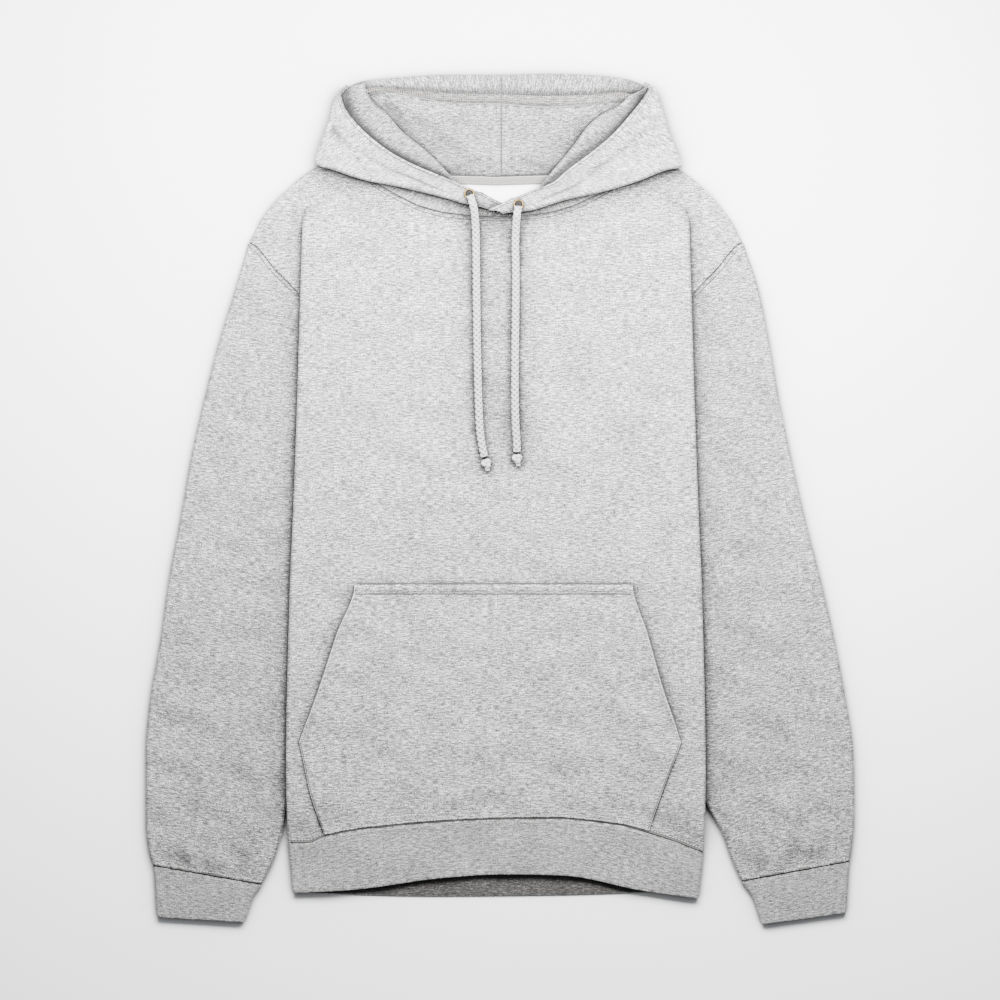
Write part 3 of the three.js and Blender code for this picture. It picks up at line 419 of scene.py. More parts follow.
def half_section(up, levels, side):
    """Points of half a body section, out from the middle, each with its height."""
    fold = fold_half(up) - levels["inset"]
    seam, k, radius = seam_half(up), pleated(up), STEP / 2
    back = levels["back"](up)
    last = fold - abs(float(levels["face"](fold - 2, up)) - back) / 2
    inner = fold - pleat_depth(up)
    edge = pocket_edge[side](up)
    beyond = np.linspace(edge, last, SIDE_STEPS + 2)[1:-1]
    outs = np.concatenate([np.linspace(0, edge, FACE_STEPS), beyond])
    face = np.stack([outs, levels["face"](outs, up)], 1)
    outer = fold_arc(fold, float(levels["face"](last, up)), back, 1, FOLD_STEPS)
    tail = RETURN_STEPS + INNER_STEPS + UNDER_STEPS
    meeting = (FRONT_LEVELS["back"](up) + BACK_LEVELS["back"](up) + levels["seam_side"] * STEP) / 2
    closing = lerp(back, meeting, ease((UNDERARM - 0.03 - up) / 0.06))
    near = min(seam + 6, (seam + last) / 2)
    plain = np.concatenate([
        run(last, near, tail - 3, lambda out: back),
        run(near, seam, 3, lambda out: lerp(back, closing, (near - out) / (near - seam))),
    ])
    under = lambda out: levels["under"](fold - out, up)
    pleat = np.concatenate([
        run(last, inner + radius, RETURN_STEPS, lambda out: back),
        fold_arc(inner, back, float(under(inner + radius)), -1, INNER_STEPS)[1:],
        run(inner + radius, seam, UNDER_STEPS, under),
    ])
    both = ease((seam - inner - 4) / 10) if up > PLEAT_FOOT else 0
    folded = np.concatenate([outer, lerp(plain, pleat, both) if both > 0 else plain])
    turned = RETURN_STEPS + INNER_STEPS
    level = lambda out: levels["flat"](up)
    flat = np.concatenate([
        run(last, fold, FOLD_STEPS + 1, level),
        run(fold, fold + 1.5, turned, level), run(fold + 1.5, seam, UNDER_STEPS, level),
    ])
    return np.concatenate([face, lerp(flat, folded, k)])


def body_y(x, up, hem_seam, top):
    out = np.abs(x - MIDDLE)
    above = (up - POCKET_UP) / (1 - POCKET_UP)
    if above > 0:
        shared = lerp(POCKET_Y, front_top(out), above)
    else:
        shared = lerp(front_hem_seam(x), POCKET_Y, up / POCKET_UP)
    hem = (hem_seam(x) - front_hem_seam(x)) * ease(1 - up / 0.2)
    return shared + hem + (top(out) - front_top(out)) * ease((up - 0.85) / 0.15)


BODY_ROWS = np.unique(np.round(np.concatenate([
    np.linspace(0, 0.08, 10), np.linspace(0.08, 0.88, 92), np.linspace(0.88, 1, 34), [UNDERARM, POCKET_UP],
]), 5))


def body_grid(levels, hem_seam, top):
    rows = []
    for up in BODY_ROWS:
        halves = []
        for side in (-1, 1):
            out, z = half_section(up, levels, side).T
            x = MIDDLE + side * out
            halves.append(np.stack([x, body_y(x, up, hem_seam, top), z], 1))
        rows.append(np.concatenate([halves[0][:0:-1], halves[1]]))
    return np.array(rows)


def face_weight(grid):
    """1 on the cloth that shows, fading at the side folds and on the cloth turned under them."""
    across = grid.shape[1]
    column = np.abs(np.arange(across) - across // 2)[None, :]
    up = BODY_ROWS[:, None]
    last = across // 2
    folded = ease((FACE_COUNT - 1 - column) / 9)
    shoulder = ease((column - (last - UNDER_STEPS + 3)) / 5) * ease((last - column) / 3)
    shoulder = shoulder * ease((up - 0.7) / 0.03)
    return lerp(ease((last - column) / 3), folded + shoulder, pleated(up))


# Meshes

def unit(v):
    return v / np.maximum(np.linalg.norm(v, axis=-1, keepdims=True), 1e-9)


def differences(grid, axis, ring=False):
    if ring:
        return np.roll(grid, -1, axis) - np.roll(grid, 1, axis)
    return np.gradient(grid, axis=axis)


def grid_normals(grid, ring):
    return unit(np.cross(differences(grid, 1, ring), differences(grid, 0)))


def cloth_uv(grid, ring, grain):
    """Lengths along and across the cloth, in metres. grain, where given, is the way its rows run."""
    if grain is not None:
        along = grid[..., 0] * math.cos(grain) + grid[..., 1] * math.sin(grain)
        across = grid[..., 1] * math.cos(grain) - grid[..., 0] * math.sin(grain)
        made = np.stack([along, across], 2) * MM
        return np.concatenate([made, made[:, :1]], 1) if ring else made
    closed = np.concatenate([grid, grid[:, :1]], 1) if ring else grid
    u = np.cumsum(np.linalg.norm(np.diff(closed, axis=1), axis=2), 1)
    u = np.concatenate([np.zeros((len(grid), 1)), u], 1)
    v = np.cumsum(np.linalg.norm(np.diff(closed, axis=0), axis=2).mean(1))
    v = np.concatenate([[0], v])[:, None] + 0 * u
    return np.stack([u, v], 2) * MM


def boundary(rows, across, ring):
    """Loops of (row, column) round the grid's edges, as its upper faces see them."""
    if ring:
        j = np.arange(across + 1)
        return [(0 * j, j), (0 * j + rows - 1, j[::-1])]
    i, j = np.arange(rows), np.arange(across)
    ii = np.concatenate([0 * j, i[1:], 0 * j[:-1] + rows - 1, i[-2::-1]])
    jj = np.concatenate([j, 0 * i[1:] + across - 1, j[-2::-1], 0 * i[:-1]])
    return [(ii, jj)]


def wall(grid, thick, ring=False, rim=0.45, turned=None, grain=None):
    """A wall of cloth with rounded edges round a grid of points.

    Returns points, faces, a UV for each face corner, and 0 for faces on the normals' side, 1 for the
    other side and 2 for the edges. turned is the column after which the grain runs the other way.
    """
    grid = grid.copy()
    outward = np.zeros_like(grid)
    outward[0] += grid[0] - grid[1]
    outward[-1] += grid[-1] - grid[-2]
    if not ring:
        for edge, beside in ((0, 1), (-1, -2)):
            size = np.linalg.norm(outward[:, edge], axis=1, keepdims=True).clip(1)
            outward[:, edge] += unit(grid[:, edge] - grid[:, beside]) * size
    outward = unit(outward) * (np.linalg.norm(outward, axis=2, keepdims=True) > 0)
    grid -= outward * rim
    normals = grid_normals(grid, ring)
    rows, across = grid.shape[:2]
    uv = cloth_uv(grid, ring, grain)
    layer = rows * across
    points = [grid + normals * thick / 2, grid - normals * thick / 2]
    points = [p.reshape(-1, 3) for p in points]
    i, j = np.meshgrid(np.arange(rows - 1), np.arange(across if ring else across - 1), indexing="ij")
    corners = [(i, j), (i, j + 1), (i + 1, j + 1), (i + 1, j)]
    index = np.stack([a * across + b % across for a, b in corners], -1).reshape(-1, 4)
    corner_uv = np.stack([uv[a, b] for a, b in corners], 2)
    if turned is not None:
        swapped = (j >= turned)[..., None, None]
        corner_uv = np.where(swapped, corner_uv[..., ::-1], corner_uv)
    corner_uv = corner_uv.reshape(-1, 4, 2)
    faces = [index, index[:, ::-1] + layer]
    uvs = [corner_uv, corner_uv[:, ::-1]]
    kinds = [np.zeros(len(index), int), np.ones(len(index), int)]
    start = 2 * layer
    for ii, jj in boundary(rows, across, ring):
        jw = jj % across
        upper = ii * across + jw
        chain = [upper]
        for angle in (0.25 * math.pi, 0.5 * math.pi, 0.75 * math.pi):
            side = outward[ii, jw] * rim * math.sin(angle) + normals[ii, jw] * thick / 2 * math.cos(angle)
            points.append(grid[ii, jw] + side)
            chain.append(start + np.arange(len(ii)))
            start += len(ii)
        chain.append(upper + layer)
        edge_uv = uv[ii, jj]
        for a, b in zip(chain[:-1], chain[1:]):
            faces.append(np.stack([a[1:], a[:-1], b[:-1], b[1:]], 1))
            uvs.append(np.stack([edge_uv[1:], edge_uv[:-1], edge_uv[:-1], edge_uv[1:]], 1))
            kinds.append(np.full(len(ii) - 1, 2))
    return np.concatenate(points), np.concatenate(faces), np.concatenate(uvs), np.concatenate(kinds)


def make_object(name, points, faces, materials, uvs=None, kinds=None):
    mesh = bpy.data.meshes.new(name)
    moved = np.array(points, float)
    moved[:, 1] -= CENTRE_Y
    mesh.from_pydata((moved * MM).tolist(), [], [[int(i) for i in face] for face in faces])
    if uvs is not None:
        mesh.uv_layers.new(name="Cloth").data.foreach_set("uv", np.asarray(uvs, float).ravel())
    for shade in materials:
        mesh.materials.append(shade)
    if kinds is not None:
        mesh.polygons.foreach_set("material_index", np.asarray(kinds, int))
    mesh.polygons.foreach_set("use_smooth", [True] * len(mesh.polygons))
    mesh.update()
    obj = bpy.data.objects.new(name, mesh)
    bpy.context.scene.collection.objects.link(obj)
    return obj


def weld(obj):
    """Joins the points of a mesh that lie on each other."""
    b = bmesh.new()
    b.from_mesh(obj.data)
    bmesh.ops.remove_doubles(b, verts=b.verts, dist=1e-6)
    b.to_mesh(obj.data)
    b.free()
    obj.data.update()


def attach(obj, nodes):
    """The object rides with the garment and stands for its solids."""
    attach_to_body(obj, "root")
    if nodes:
        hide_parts(*nodes)
    return obj


def piece(name, made, materials, nodes):
    """A piece of cloth, from what wall makes."""
    points, faces, uvs, kinds = made
    obj = make_object(name, points, faces, materials, uvs, kinds)
    weld(obj)
    return attach(obj, nodes)


def loose_piece(name, points, faces, shade, slot, nodes=()):
    """Cord, metal, thread, or a near-black piece of painted shade."""
    return attach(make_object(name, points, faces, [shade]), nodes)


# Materials

def material(name, roughness, sheen=0.0, metallic=0.0, gloss=0.2):
    made = bpy.data.materials.new(name)
    made.use_nodes = True
    shader = made.node_tree.nodes["Principled BSDF"]
    shader.inputs["Roughness"].default_value = roughness
    shader.inputs["Metallic"].default_value = metallic
    shader.inputs["Sheen Weight"].default_value = sheen
    shader.inputs["Sheen Roughness"].default_value = 0.6
    shader.inputs["Specular IOR Level"].default_value = gloss
    return made, shader


def add(tree, kind, **values):
    node = tree.nodes.new(kind)
    for name, value in values.items():
        if name in node.inputs:
            node.inputs[name].default_value = value
        else:
            setattr(node, name, value)
    return node


def noise(tree, uv, across, along, detail=2.0):
    """Noise stretched over the cloth: across and along are how many to a metre."""
    scaled = add(tree, "ShaderNodeMapping")
    scaled.inputs["Scale"].default_value = (across, along, 1)
    tree.links.new(uv, scaled.inputs["Vector"])
    made = add(tree, "ShaderNodeTexNoise", Scale=1.0, Detail=detail, Roughness=0.6)
    tree.links.new(scaled.outputs["Vector"], made.inputs["Vector"])
    return made.outputs["Fac"]


def scaled_sum(tree, parts):
    """The sum of (output, factor) pairs."""
    total = None
    for output, factor in parts:
        node = add(tree, "ShaderNodeMath", operation="MULTIPLY_ADD")
        node.inputs[1].default_value = factor
        node.inputs[2].default_value = 0
        tree.links.new(output, node.inputs[0])
        if total is not None:
            tree.links.new(total, node.inputs[2])
        total = node.outputs[0]
    return total


def ramp(tree, value, stops):
    node = add(tree, "ShaderNodeValToRGB")
    elements = node.color_ramp.elements
    while len(elements) < len(stops):
        elements.new(0.5)
    for element, (at, color) in zip(elements, stops):
        element.position = at
        element.color = (*color, 1)
    tree.links.new(value, node.inputs["Fac"])
    return node.outputs["Color"]


def grey(value, warm=0.0):
    return (value * (1 + warm), value, value * (1 - warm))


def painted_crease_shade(tree, colour, reach=0.03, power=2.0):
    """The colour with painted shade: darker on level cloth that lies close to other cloth, by its
    occlusion.
    """
    near = add(tree, "ShaderNodeAmbientOcclusion", samples=6)
    near.inputs["Distance"].default_value = reach
    deep = add(tree, "ShaderNodeMath", operation="POWER")
    deep.inputs[1].default_value = power
    tree.links.new(near.outputs["AO"], deep.inputs[0])
    facing = add(tree, "ShaderNodeSeparateXYZ")
    tree.links.new(add(tree, "ShaderNodeNewGeometry").outputs["Normal"], facing.inputs[0])
    level = add(tree, "ShaderNodeMapRange")
    level.inputs["From Min"].default_value = 0.35
    level.inputs["From Max"].default_value = 0.85
    level.inputs["To Min"].default_value = 1.0
    level.inputs["To Max"].default_value = 0.0
    tree.links.new(facing.outputs["Z"], level.inputs["Value"])
    most = add(tree, "ShaderNodeMath", operation="MAXIMUM")
    tree.links.new(deep.outputs[0], most.inputs[0])
    tree.links.new(level.outputs["Result"], most.inputs[1])
    shade = add(tree, "ShaderNodeVectorMath", operation="SCALE")
    tree.links.new(colour, shade.inputs[0])
    tree.links.new(most.outputs[0], shade.inputs["Scale"])
    return shade.outputs[0]


# The marl's streaks: how many to a metre across and along, their detail, and their share
STREAKS = [(700, 1050, 1.0, 0.4), (170, 980, 1.0, 0.4), (70, 430, 2.0, 0.13), (20, 52, 2.0, 0.07)]
# Along the streaks' range: how far from the base tone the fibres are there, and how warm
FIBRE_TONES = [
    (0.37, -0.95, 0.02), (0.45, -0.42, 0.014), (0.5, 0.0, 0.01), (0.56, 0.45, 0.004), (0.64, 0.85, 0.0),
]
PALEST = 0.95


def marl(name, base, contrast=1.6, ribbed=0.0, reach=0.03, power=3.0, tint=0.0):
    """Marl jersey: pale and dark fibres in fine streaks, with knit in the bump and painted crease shade.
    """
    made, shader = material(name, 0.92, sheen=0.12)
    tree = made.node_tree
    uv = add(tree, "ShaderNodeUVMap", uv_map="Cloth").outputs["UV"]
    streaks = [noise(tree, uv, across, along, detail) for across, along, detail, _ in STREAKS]
    shares = [share for _, _, _, share in STREAKS]
    fibres = scaled_sum(tree, list(zip(streaks, shares)))
    colour = ramp(tree, fibres, [
        (at, grey(min(base * math.exp(tone * contrast), PALEST), warm + tint))
        for at, tone, warm in FIBRE_TONES
    ])
    tree.links.new(painted_crease_shade(tree, colour, reach, power), shader.inputs["Base Color"])
    knit = noise(tree, uv, 1500, 1500, 1.0)
    rise = scaled_sum(tree, [(knit, 0.5), (streaks[1], 0.5), (streaks[2], 0.35 + ribbed)])
    bump = add(tree, "ShaderNodeBump", Strength=0.4, Distance=0.0006)
    tree.links.new(rise, bump.inputs["Height"])
    tree.links.new(bump.outputs["Normal"], shader.inputs["Normal"])
    return made


def plain_cloth(name, base, warm, scale, contrast, reach=0.008, sheen=0.2, gloss=0.2):
    """Undyed cloth with an even nap and painted crease shade; made near black, it is painted shade itself.
    """
    made, shader = material(name, 0.95, sheen=sheen, gloss=gloss)
    tree = made.node_tree
    place = add(tree, "ShaderNodeTexCoord").outputs["Object"]
    nap = noise(tree, place, scale, scale, 3.0)
    low, high = grey(base * (1 - contrast), warm), grey(base * (1 + contrast), warm)
    colour = ramp(tree, nap, [(0.3, low), (0.7, high)])
    tree.links.new(painted_crease_shade(tree, colour, reach), shader.inputs["Base Color"])
    bump = add(tree, "ShaderNodeBump", Strength=0.5, Distance=0.0006)
    tree.links.new(nap, bump.inputs["Height"])
    tree.links.new(bump.outputs["Normal"], shader.inputs["Normal"])
    return made


def brass():
    made, shader = material("brass", 0.34, metallic=1.0, gloss=0.5)
    tree = made.node_tree
    place = add(tree, "ShaderNodeTexCoord").outputs["Object"]
    wear = noise(tree, place, 500, 500, 3.0)
    colour = ramp(tree, wear, [(0.3, (0.055, 0.036, 0.011)), (0.7, (0.16, 0.115, 0.045))])
    tree.links.new(colour, shader.inputs["Base Color"])
    return made


BODY_GREY = 0.142
# Each marl's colour carries painted crease shade; reach and power set how far it goes and how dark it
# gets.
cloth = marl("marl", BODY_GREY * 1.01, power=4.0)
# The sleeves' marl is a shaded copy of the body's: a darker base and wider, deeper painted crease shade,
# as painted shade beside the body's side folds.
sleeve_cloth = marl("marl_sleeve", BODY_GREY * 0.88, reach=0.08, power=5.0)
# The hood's lining is the same marl painted darker, as painted shade in the hood's hollow, with deeper
# painted crease shade.
lining = marl("marl_lining", BODY_GREY * 0.66, reach=0.04, power=6.0)
rib = marl("marl_rib", BODY_GREY * 0.92, contrast=1.2, ribbed=0.3, reach=0.015, power=1.0)
# The hem band's inner side is the same rib painted near black and warm, as painted shade under the front
# band's arch.
rib_inside_shaded = marl("marl_rib_inside", BODY_GREY * 0.2, tint=0.05)
fleece = plain_cloth("white_fleece", 0.55, 0.0, 420, 0.05)
tape_cloth = plain_cloth("tape", 0.09, 0.05, 900, 0.35)
thread = plain_cloth("thread", 0.42, 0.01, 1500, 0.1, reach=0.001)
beige_thread = plain_cloth("beige_thread", 0.2, 0.13, 1500, 0.2, reach=0.001)
# The two near-black cloths below are painted shade: for the seams' grooves, the gaps beside seams and the
# eyelet holes.
seam_shade = plain_cloth("seam_shade", 0.065, 0.03, 1500, 0.3, 0.001, 0.0, 0.05)
seam_groove_shade = plain_cloth("seam_groove_shade", 0.025, 0.02, 1500, 0.3, sheen=0.0, gloss=0.05)
cotton = plain_cloth("cotton_cord", 0.29, 0.004, 1100, 0.25)
metal = brass()


# Camera: straight above, with a long lens
PICTURE = 1000 * PIXEL * MM  # width of what the camera sees on the surface
LENS, SENSOR = 150.0, 36.0
camera = bpy.data.objects.new("camera", bpy.data.cameras.new("camera"))
camera.data.lens = LENS
camera.data.sensor_width = SENSOR
camera.data.clip_end = 20
camera.location = (0, (PIXEL - CENTRE_Y) * MM, PICTURE * LENS / SENSOR)
bpy.context.scene.collection.objects.link(camera)
bpy.context.scene.camera = camera


# Drawcords: their routes, their braid and their knots

def spline(points, count):
    """Even steps along a smooth curve through the points."""
    p = np.array(points, float)
    p = np.concatenate([2 * p[:1] - p[1:2], p, 2 * p[-1:] - p[-2:-1]])
    knots = np.concatenate([[0], np.cumsum(np.sqrt(np.linalg.norm(np.diff(p, axis=0), axis=1)))])
    out = []
    for i in range(1, len(p) - 2):
        t0, t1, t2, t3 = knots[i - 1:i + 3]
        t = np.linspace(t1, t2, 40, endpoint=False)[:, None]
        a1 = (t1 - t) / (t1 - t0) * p[i - 1] + (t - t0) / (t1 - t0) * p[i]
        a2 = (t2 - t) / (t2 - t1) * p[i] + (t - t1) / (t2 - t1) * p[i + 1]
        a3 = (t3 - t) / (t3 - t2) * p[i + 1] + (t - t2) / (t3 - t2) * p[i + 2]
        b1 = (t2 - t) / (t2 - t0) * a1 + (t - t0) / (t2 - t0) * a2
        b2 = (t3 - t) / (t3 - t1) * a2 + (t - t1) / (t3 - t1) * a3
        out.append((t2 - t) / (t2 - t1) * b1 + (t - t1) / (t2 - t1) * b2)
    out = np.concatenate([*out, p[-2:-1]])
    reached = np.concatenate([[0], np.cumsum(np.linalg.norm(np.diff(out, axis=0), axis=1))])
    even = np.linspace(0, reached[-1], count)
    return np.stack([np.interp(even, reached, out[:, k]) for k in range(3)], 1)


def tube_faces(i, j, rows, across):
    """Faces between the points of a grid that closes on itself."""
    corners = [(i, j), (i + 1, j), (i + 1, j + 1), (i, j + 1)]
    index = [(a % rows) * across + b % across for a, b in corners]
    return np.stack(index, -1).reshape(-1, 4).tolist()


def tube(path, radius, sides, closed=False, braid=0.0, pitch=3.4):
    """A tube along a path. braid raises two sets of strands that cross."""
    along = unit(differences(path, 0, closed))
    side = unit(np.cross(along, [0.03, 0.02, 1.0]))
    up = np.cross(side, along)
    angle = np.linspace(0, 2 * math.pi, sides, endpoint=False)[None, :]
    step = np.linalg.norm(np.diff(path, axis=0), axis=1).mean()
    far = (np.arange(len(path)) * step / pitch * 2 * math.pi)[:, None]
    strands = np.maximum(np.sin(3 * angle + far), np.sin(3 * angle - far + math.pi / 2))
    r = radius * (1 + braid * (strands - 0.55))
    ring = path[:, None] + r[..., None] * (
        np.cos(angle)[..., None] * side[:, None] + np.sin(angle)[..., None] * up[:, None]
    )
    rows = len(path)
    i, j = np.meshgrid(np.arange(rows if closed else rows - 1), np.arange(sides), indexing="ij")
    faces = tube_faces(i, j, rows, sides)
    points = ring.reshape(-1, 3)
    if not closed:
        first, last = len(points), len(points) + 1
        points = np.concatenate([points, path[:1] - along[:1] * 0.6, path[-1:] + along[-1:] * 0.6])
        faces += [[first, b, (b + 1) % sides] for b in range(sides)]
        end = (rows - 1) * sides
        faces += [[last, end + (b + 1) % sides, end + b] for b in range(sides)]
    return points, faces


def knot(side):
    """A small overhand knot with a short tail."""
    x, y, z, turn = KNOTS[side]
    t = np.linspace(0, 2 * math.pi, 90, endpoint=False)
    size = 1.02
    loop_x = size * (np.sin(t) + 2 * np.sin(2 * t))
    loop_y = size * (np.cos(t) - 2 * np.cos(2 * t))
    trefoil = np.stack([loop_x, loop_y, -1.3 * np.sin(3 * t)], 1)
    c, s = math.cos(turn), math.sin(turn)
    spin = np.array([[c, -s, 0], [s, c, 0], [0, 0, 1]])
    points, faces = tube(trefoil @ spin.T + [x, y, z - 1.2], 2.1, 14, closed=True, braid=0.05)
    tail = np.array([x, y, z]) + [[0.4, -2.5, -2], [0.8, -4.6, -2.3], [1.2, -6.6, -2.8]]
    more, more_faces = tube(spline(tail, 9), 2.2, 14, braid=0.06)
    moved = [[index + len(points) for index in face] for face in more_faces]
    return np.concatenate([points, more]), faces + moved


def drawcord(side, route):
    path = spline(route, 620)
    points, faces = tube(path, CORD / 2, 30, braid=0.3, pitch=5.2)
    cord = loose_piece(f"braided_cord_{side}", points, faces, cotton, "drawcord", [f"drawcord_{side}"])
    end = loose_piece(f"cord_end_{side}", *knot(side), cotton, "drawcord", [f"cord_knot_{side}"])
    moved = (path[::20] - [0, CENTRE_Y, 0]) * MM
    moved = np.concatenate([moved, (path[-1:] - [0, CENTRE_Y, 0]) * MM])


drawcord("left", CORD_LEFT)
drawcord("right", CORD_RIGHT)


# Body

def raised(grid, creases, high=BODY_WAVES):
    """The grid with creases and unevenness on its upper cloth."""
    made = grid.copy()
    lift = BODY_RELIEF * relief(grid[..., 0], grid[..., 1], creases)
    lift += undulation(grid[..., 0], grid[..., 1], high)
    made[..., 2] += lift * face_weight(grid)
    return made


front_grid = body_grid(FRONT_LEVELS, front_hem_seam, front_top)
back_grid = body_grid(BACK_LEVELS, back_hem_seam, back_top)
front = piece(
    "front", wall(raised(front_grid, FRONT_CREASES), WALL, grain=0), [cloth, fleece, cloth],
    ["front_panel"],
)
back = piece(
    "back", wall(back_grid, WALL, grain=0), [fleece, cloth, cloth], ["back_panel"],
)


# Sleeves and cuffs

def edge_arc(point, outward, a, b, steps=8):
    """Round edges of flattened tubes, from height a to height b, bulging along outward."""
    angle = math.pi * (0.5 - np.arange(1, steps) / steps)
    radius = np.abs(a - b) / 2
    reach = radius[:, None] * (np.cos(angle) - 1)
    z = ((a + b) / 2)[:, None] + np.sign(a - b)[:, None] * radius[:, None] * np.sin(angle)
    xy = point[:, None] + outward[:, None] * reach[..., None]
    return np.concatenate([xy, z[..., None]], 2)


def flat_rings(rows, shares, top_height, low_height, bulge, lift=None):
    """Flattened rings between outer and inner edges.

    The two heights are functions of place and share, and bulge is one of share.
    """
    outer = np.stack([rows["ox"], rows["oy"]], 1)
    inner = np.stack([rows["ix"], rows["iy"]], 1)
    width = np.linalg.norm(inner - outer, axis=1)
    inward = unit(inner - outer)
    off = bulge(shares)
    ends = [outer[:, None], inner[:, None]]
    radius = [(top_height(e, s)[:, 0] - low_height(e, s)[:, 0]) / 2 for e, s in zip(ends, (0.0, 1.0))]
    across = np.clip(shares[None] * width[:, None], radius[0][:, None], (width - radius[1])[:, None])
    flat = outer[:, None] + inward[:, None] * across[..., None] + off
    top = np.concatenate([flat, top_height(flat, shares)[..., None]], 2)
    low = np.concatenate([flat, low_height(flat, shares)[..., None]], 2)
    if lift is not None:
        top[..., 2] += lift(top[..., 0], top[..., 1]) * ease(np.minimum(shares, 1 - shares) / 0.12)
    low = low[:, ::-1]
    inner_arc = edge_arc(inner + off[:, -1], inward, top[:, -1, 2], low[:, 0, 2])
    outer_arc = edge_arc(outer + off[:, 0], -inward, low[:, -1, 2], top[:, 0, 2])
    return np.concatenate([top, inner_arc, low, outer_arc], 1)


def armhole(side):
    """The armhole from shoulder to underarm, and its bulge off the chord between them."""
    up = np.linspace(1, UNDERARM, 60)
    x = MIDDLE + side * armhole_half(up)
    y = np.array([body_y(a, b, front_hem_seam, front_top) for a, b in zip(x, up)])
    points = np.stack([x, y], 1)
    chord = points[-1] - points[0]
    share = (points - points[0]) @ chord / (chord @ chord)
    off = points - points[0] - share[:, None] * chord
    return points, lambda s: np.stack([np.interp(s, share, off[:, k]) for k in range(2)], -1)


SLEEVE_STATIONS = 130
SLEEVE_GRAIN = 0.15  # how far the knit's rows on a sleeve turn from those on the body
SLEEVE_SHARES = np.linspace(0, 1, 56)


def sleeve_grid(rows, side, creases):
    fine = stations(rows, SLEEVE_STATIONS)
    at = np.linspace(0, len(rows["ox"]) - 1, SLEEVE_STATIONS)
    _, bulge_of = armhole(side)
    reached = np.hypot(fine["ox"] - fine["ox"][0], fine["oy"] - fine["oy"][0])
    width = np.hypot(fine["ox"] - fine["ix"], fine["oy"] - fine["iy"])
    edge_loft = LOFT * ease(reached / 60)

    def shared(place):
        up = np.clip(body_up(place[..., 1]), 0, 1)
        inward = fold_half(body_up(place[..., 1])) - side * (place[..., 0] - MIDDLE)
        return pleated(up) * sleeve_inside(up) * under_body(inward)

    def top(place, share):
        puffed = lerp(edge_loft[:, None], LOFT, ease(share * width[:, None] / 32))
        return lerp(LOW + STEP + puffed, LOW + 3 * STEP, shared(place))

    def low(place, share):
        return lerp(LOW, LOW + 2 * STEP, shared(place)) + 0 * np.asarray(share)

    def bulge(share):
        fade = np.maximum(1 - at / 3, 0)[:, None, None]
        gap = np.maximum(1 - at * 4, 0)[:, None, None] * np.array([side * ARMHOLE_SEAM, -ARMHOLE_SEAM])
        return bulge_of(share)[None] * fade + gap

    def lift(x, y):
        outside = ease((side * (x - MIDDLE) - fold_half(body_up(y)) - 2) / 14)
        ends = ease(at / 0.7)[:, None] * ease((at[-1] - at) / 0.35)[:, None]
        lifted = SLEEVE_RELIEF * relief(x, y, creases) + undulation(x, y, SLEEVE_WAVES)
        return lifted * outside * ends

    return flat_rings(fine, SLEEVE_SHARES, top, low, bulge, lift)


CUFF_TOP = 5.4
RIB_PITCH = 2.6
RIB_DEPTH = 0.13


def cuff_grid(rows):
    fine = stations(rows, 22)
    shares = np.linspace(0, 1, 200)
    high = lambda value: lambda place, share: value + 0 * place[..., 0]
    still = lambda share: np.zeros((1, len(share), 2))
    return flat_rings(fine, shares, high(CUFF_TOP), high(RIB_WALL / 2), still)


def ribbed(grid, facing):
    """The grid moved along its normals so that its outer side stands in ribs."""
    normals = grid_normals(grid, True) * facing
    steps = np.linalg.norm(np.diff(grid[0], axis=0, append=grid[0][:1]), axis=1)
    reached = np.concatenate([[0], np.cumsum(steps)])
    count = round(reached[-1] / RIB_PITCH)
    wave = np.cos(reached[:-1] / reached[-1] * count * 2 * math.pi)[None, :, None]
    rows = len(grid)
    ends = ease(np.minimum(np.arange(rows), rows - 1 - np.arange(rows)) / 2)[:, None, None]
    made = grid + normals * wave * RIB_DEPTH * ends
    made[..., 2] = np.maximum(made[..., 2], RIB_WALL / 2)
    return made


SIDES = [("left", -1, SLEEVE_LEFT, CUFF_LEFT, SLEEVE_CREASES_LEFT)]
SIDES.append(("right", 1, SLEEVE_RIGHT, CUFF_RIGHT, SLEEVE_CREASES_RIGHT))
sleeves = {}
for name, side, rows, cuff_rows, creases in SIDES:
    # The rings run the other way round on the two sides, so their outer side is on the other side too
    shown = [sleeve_cloth, fleece, sleeve_cloth]
    if side < 0:
        shown = [fleece, sleeve_cloth, sleeve_cloth]
    made = wall(sleeve_grid(rows, side, creases), WALL, ring=True, rim=0.3, grain=side * SLEEVE_GRAIN)
    sleeves[name] = piece(f"sleeve_cloth_{name}", made, shown, [f"sleeve_{name}"])
    cuff = ribbed(cuff_grid(cuff_rows), 1 if side > 0 else -1)
    made = wall(cuff, RIB_WALL, ring=True, rim=0.7)
    sleeves[f"cuff_{name}"] = piece(f"cuff_rib_{name}", made, [rib, rib, rib], [f"cuff_{name}"])


# Hem band
HEM_TOP, HEM_HALF, HEM_EDGE_HALF = 6.3, 198.5, 193.5


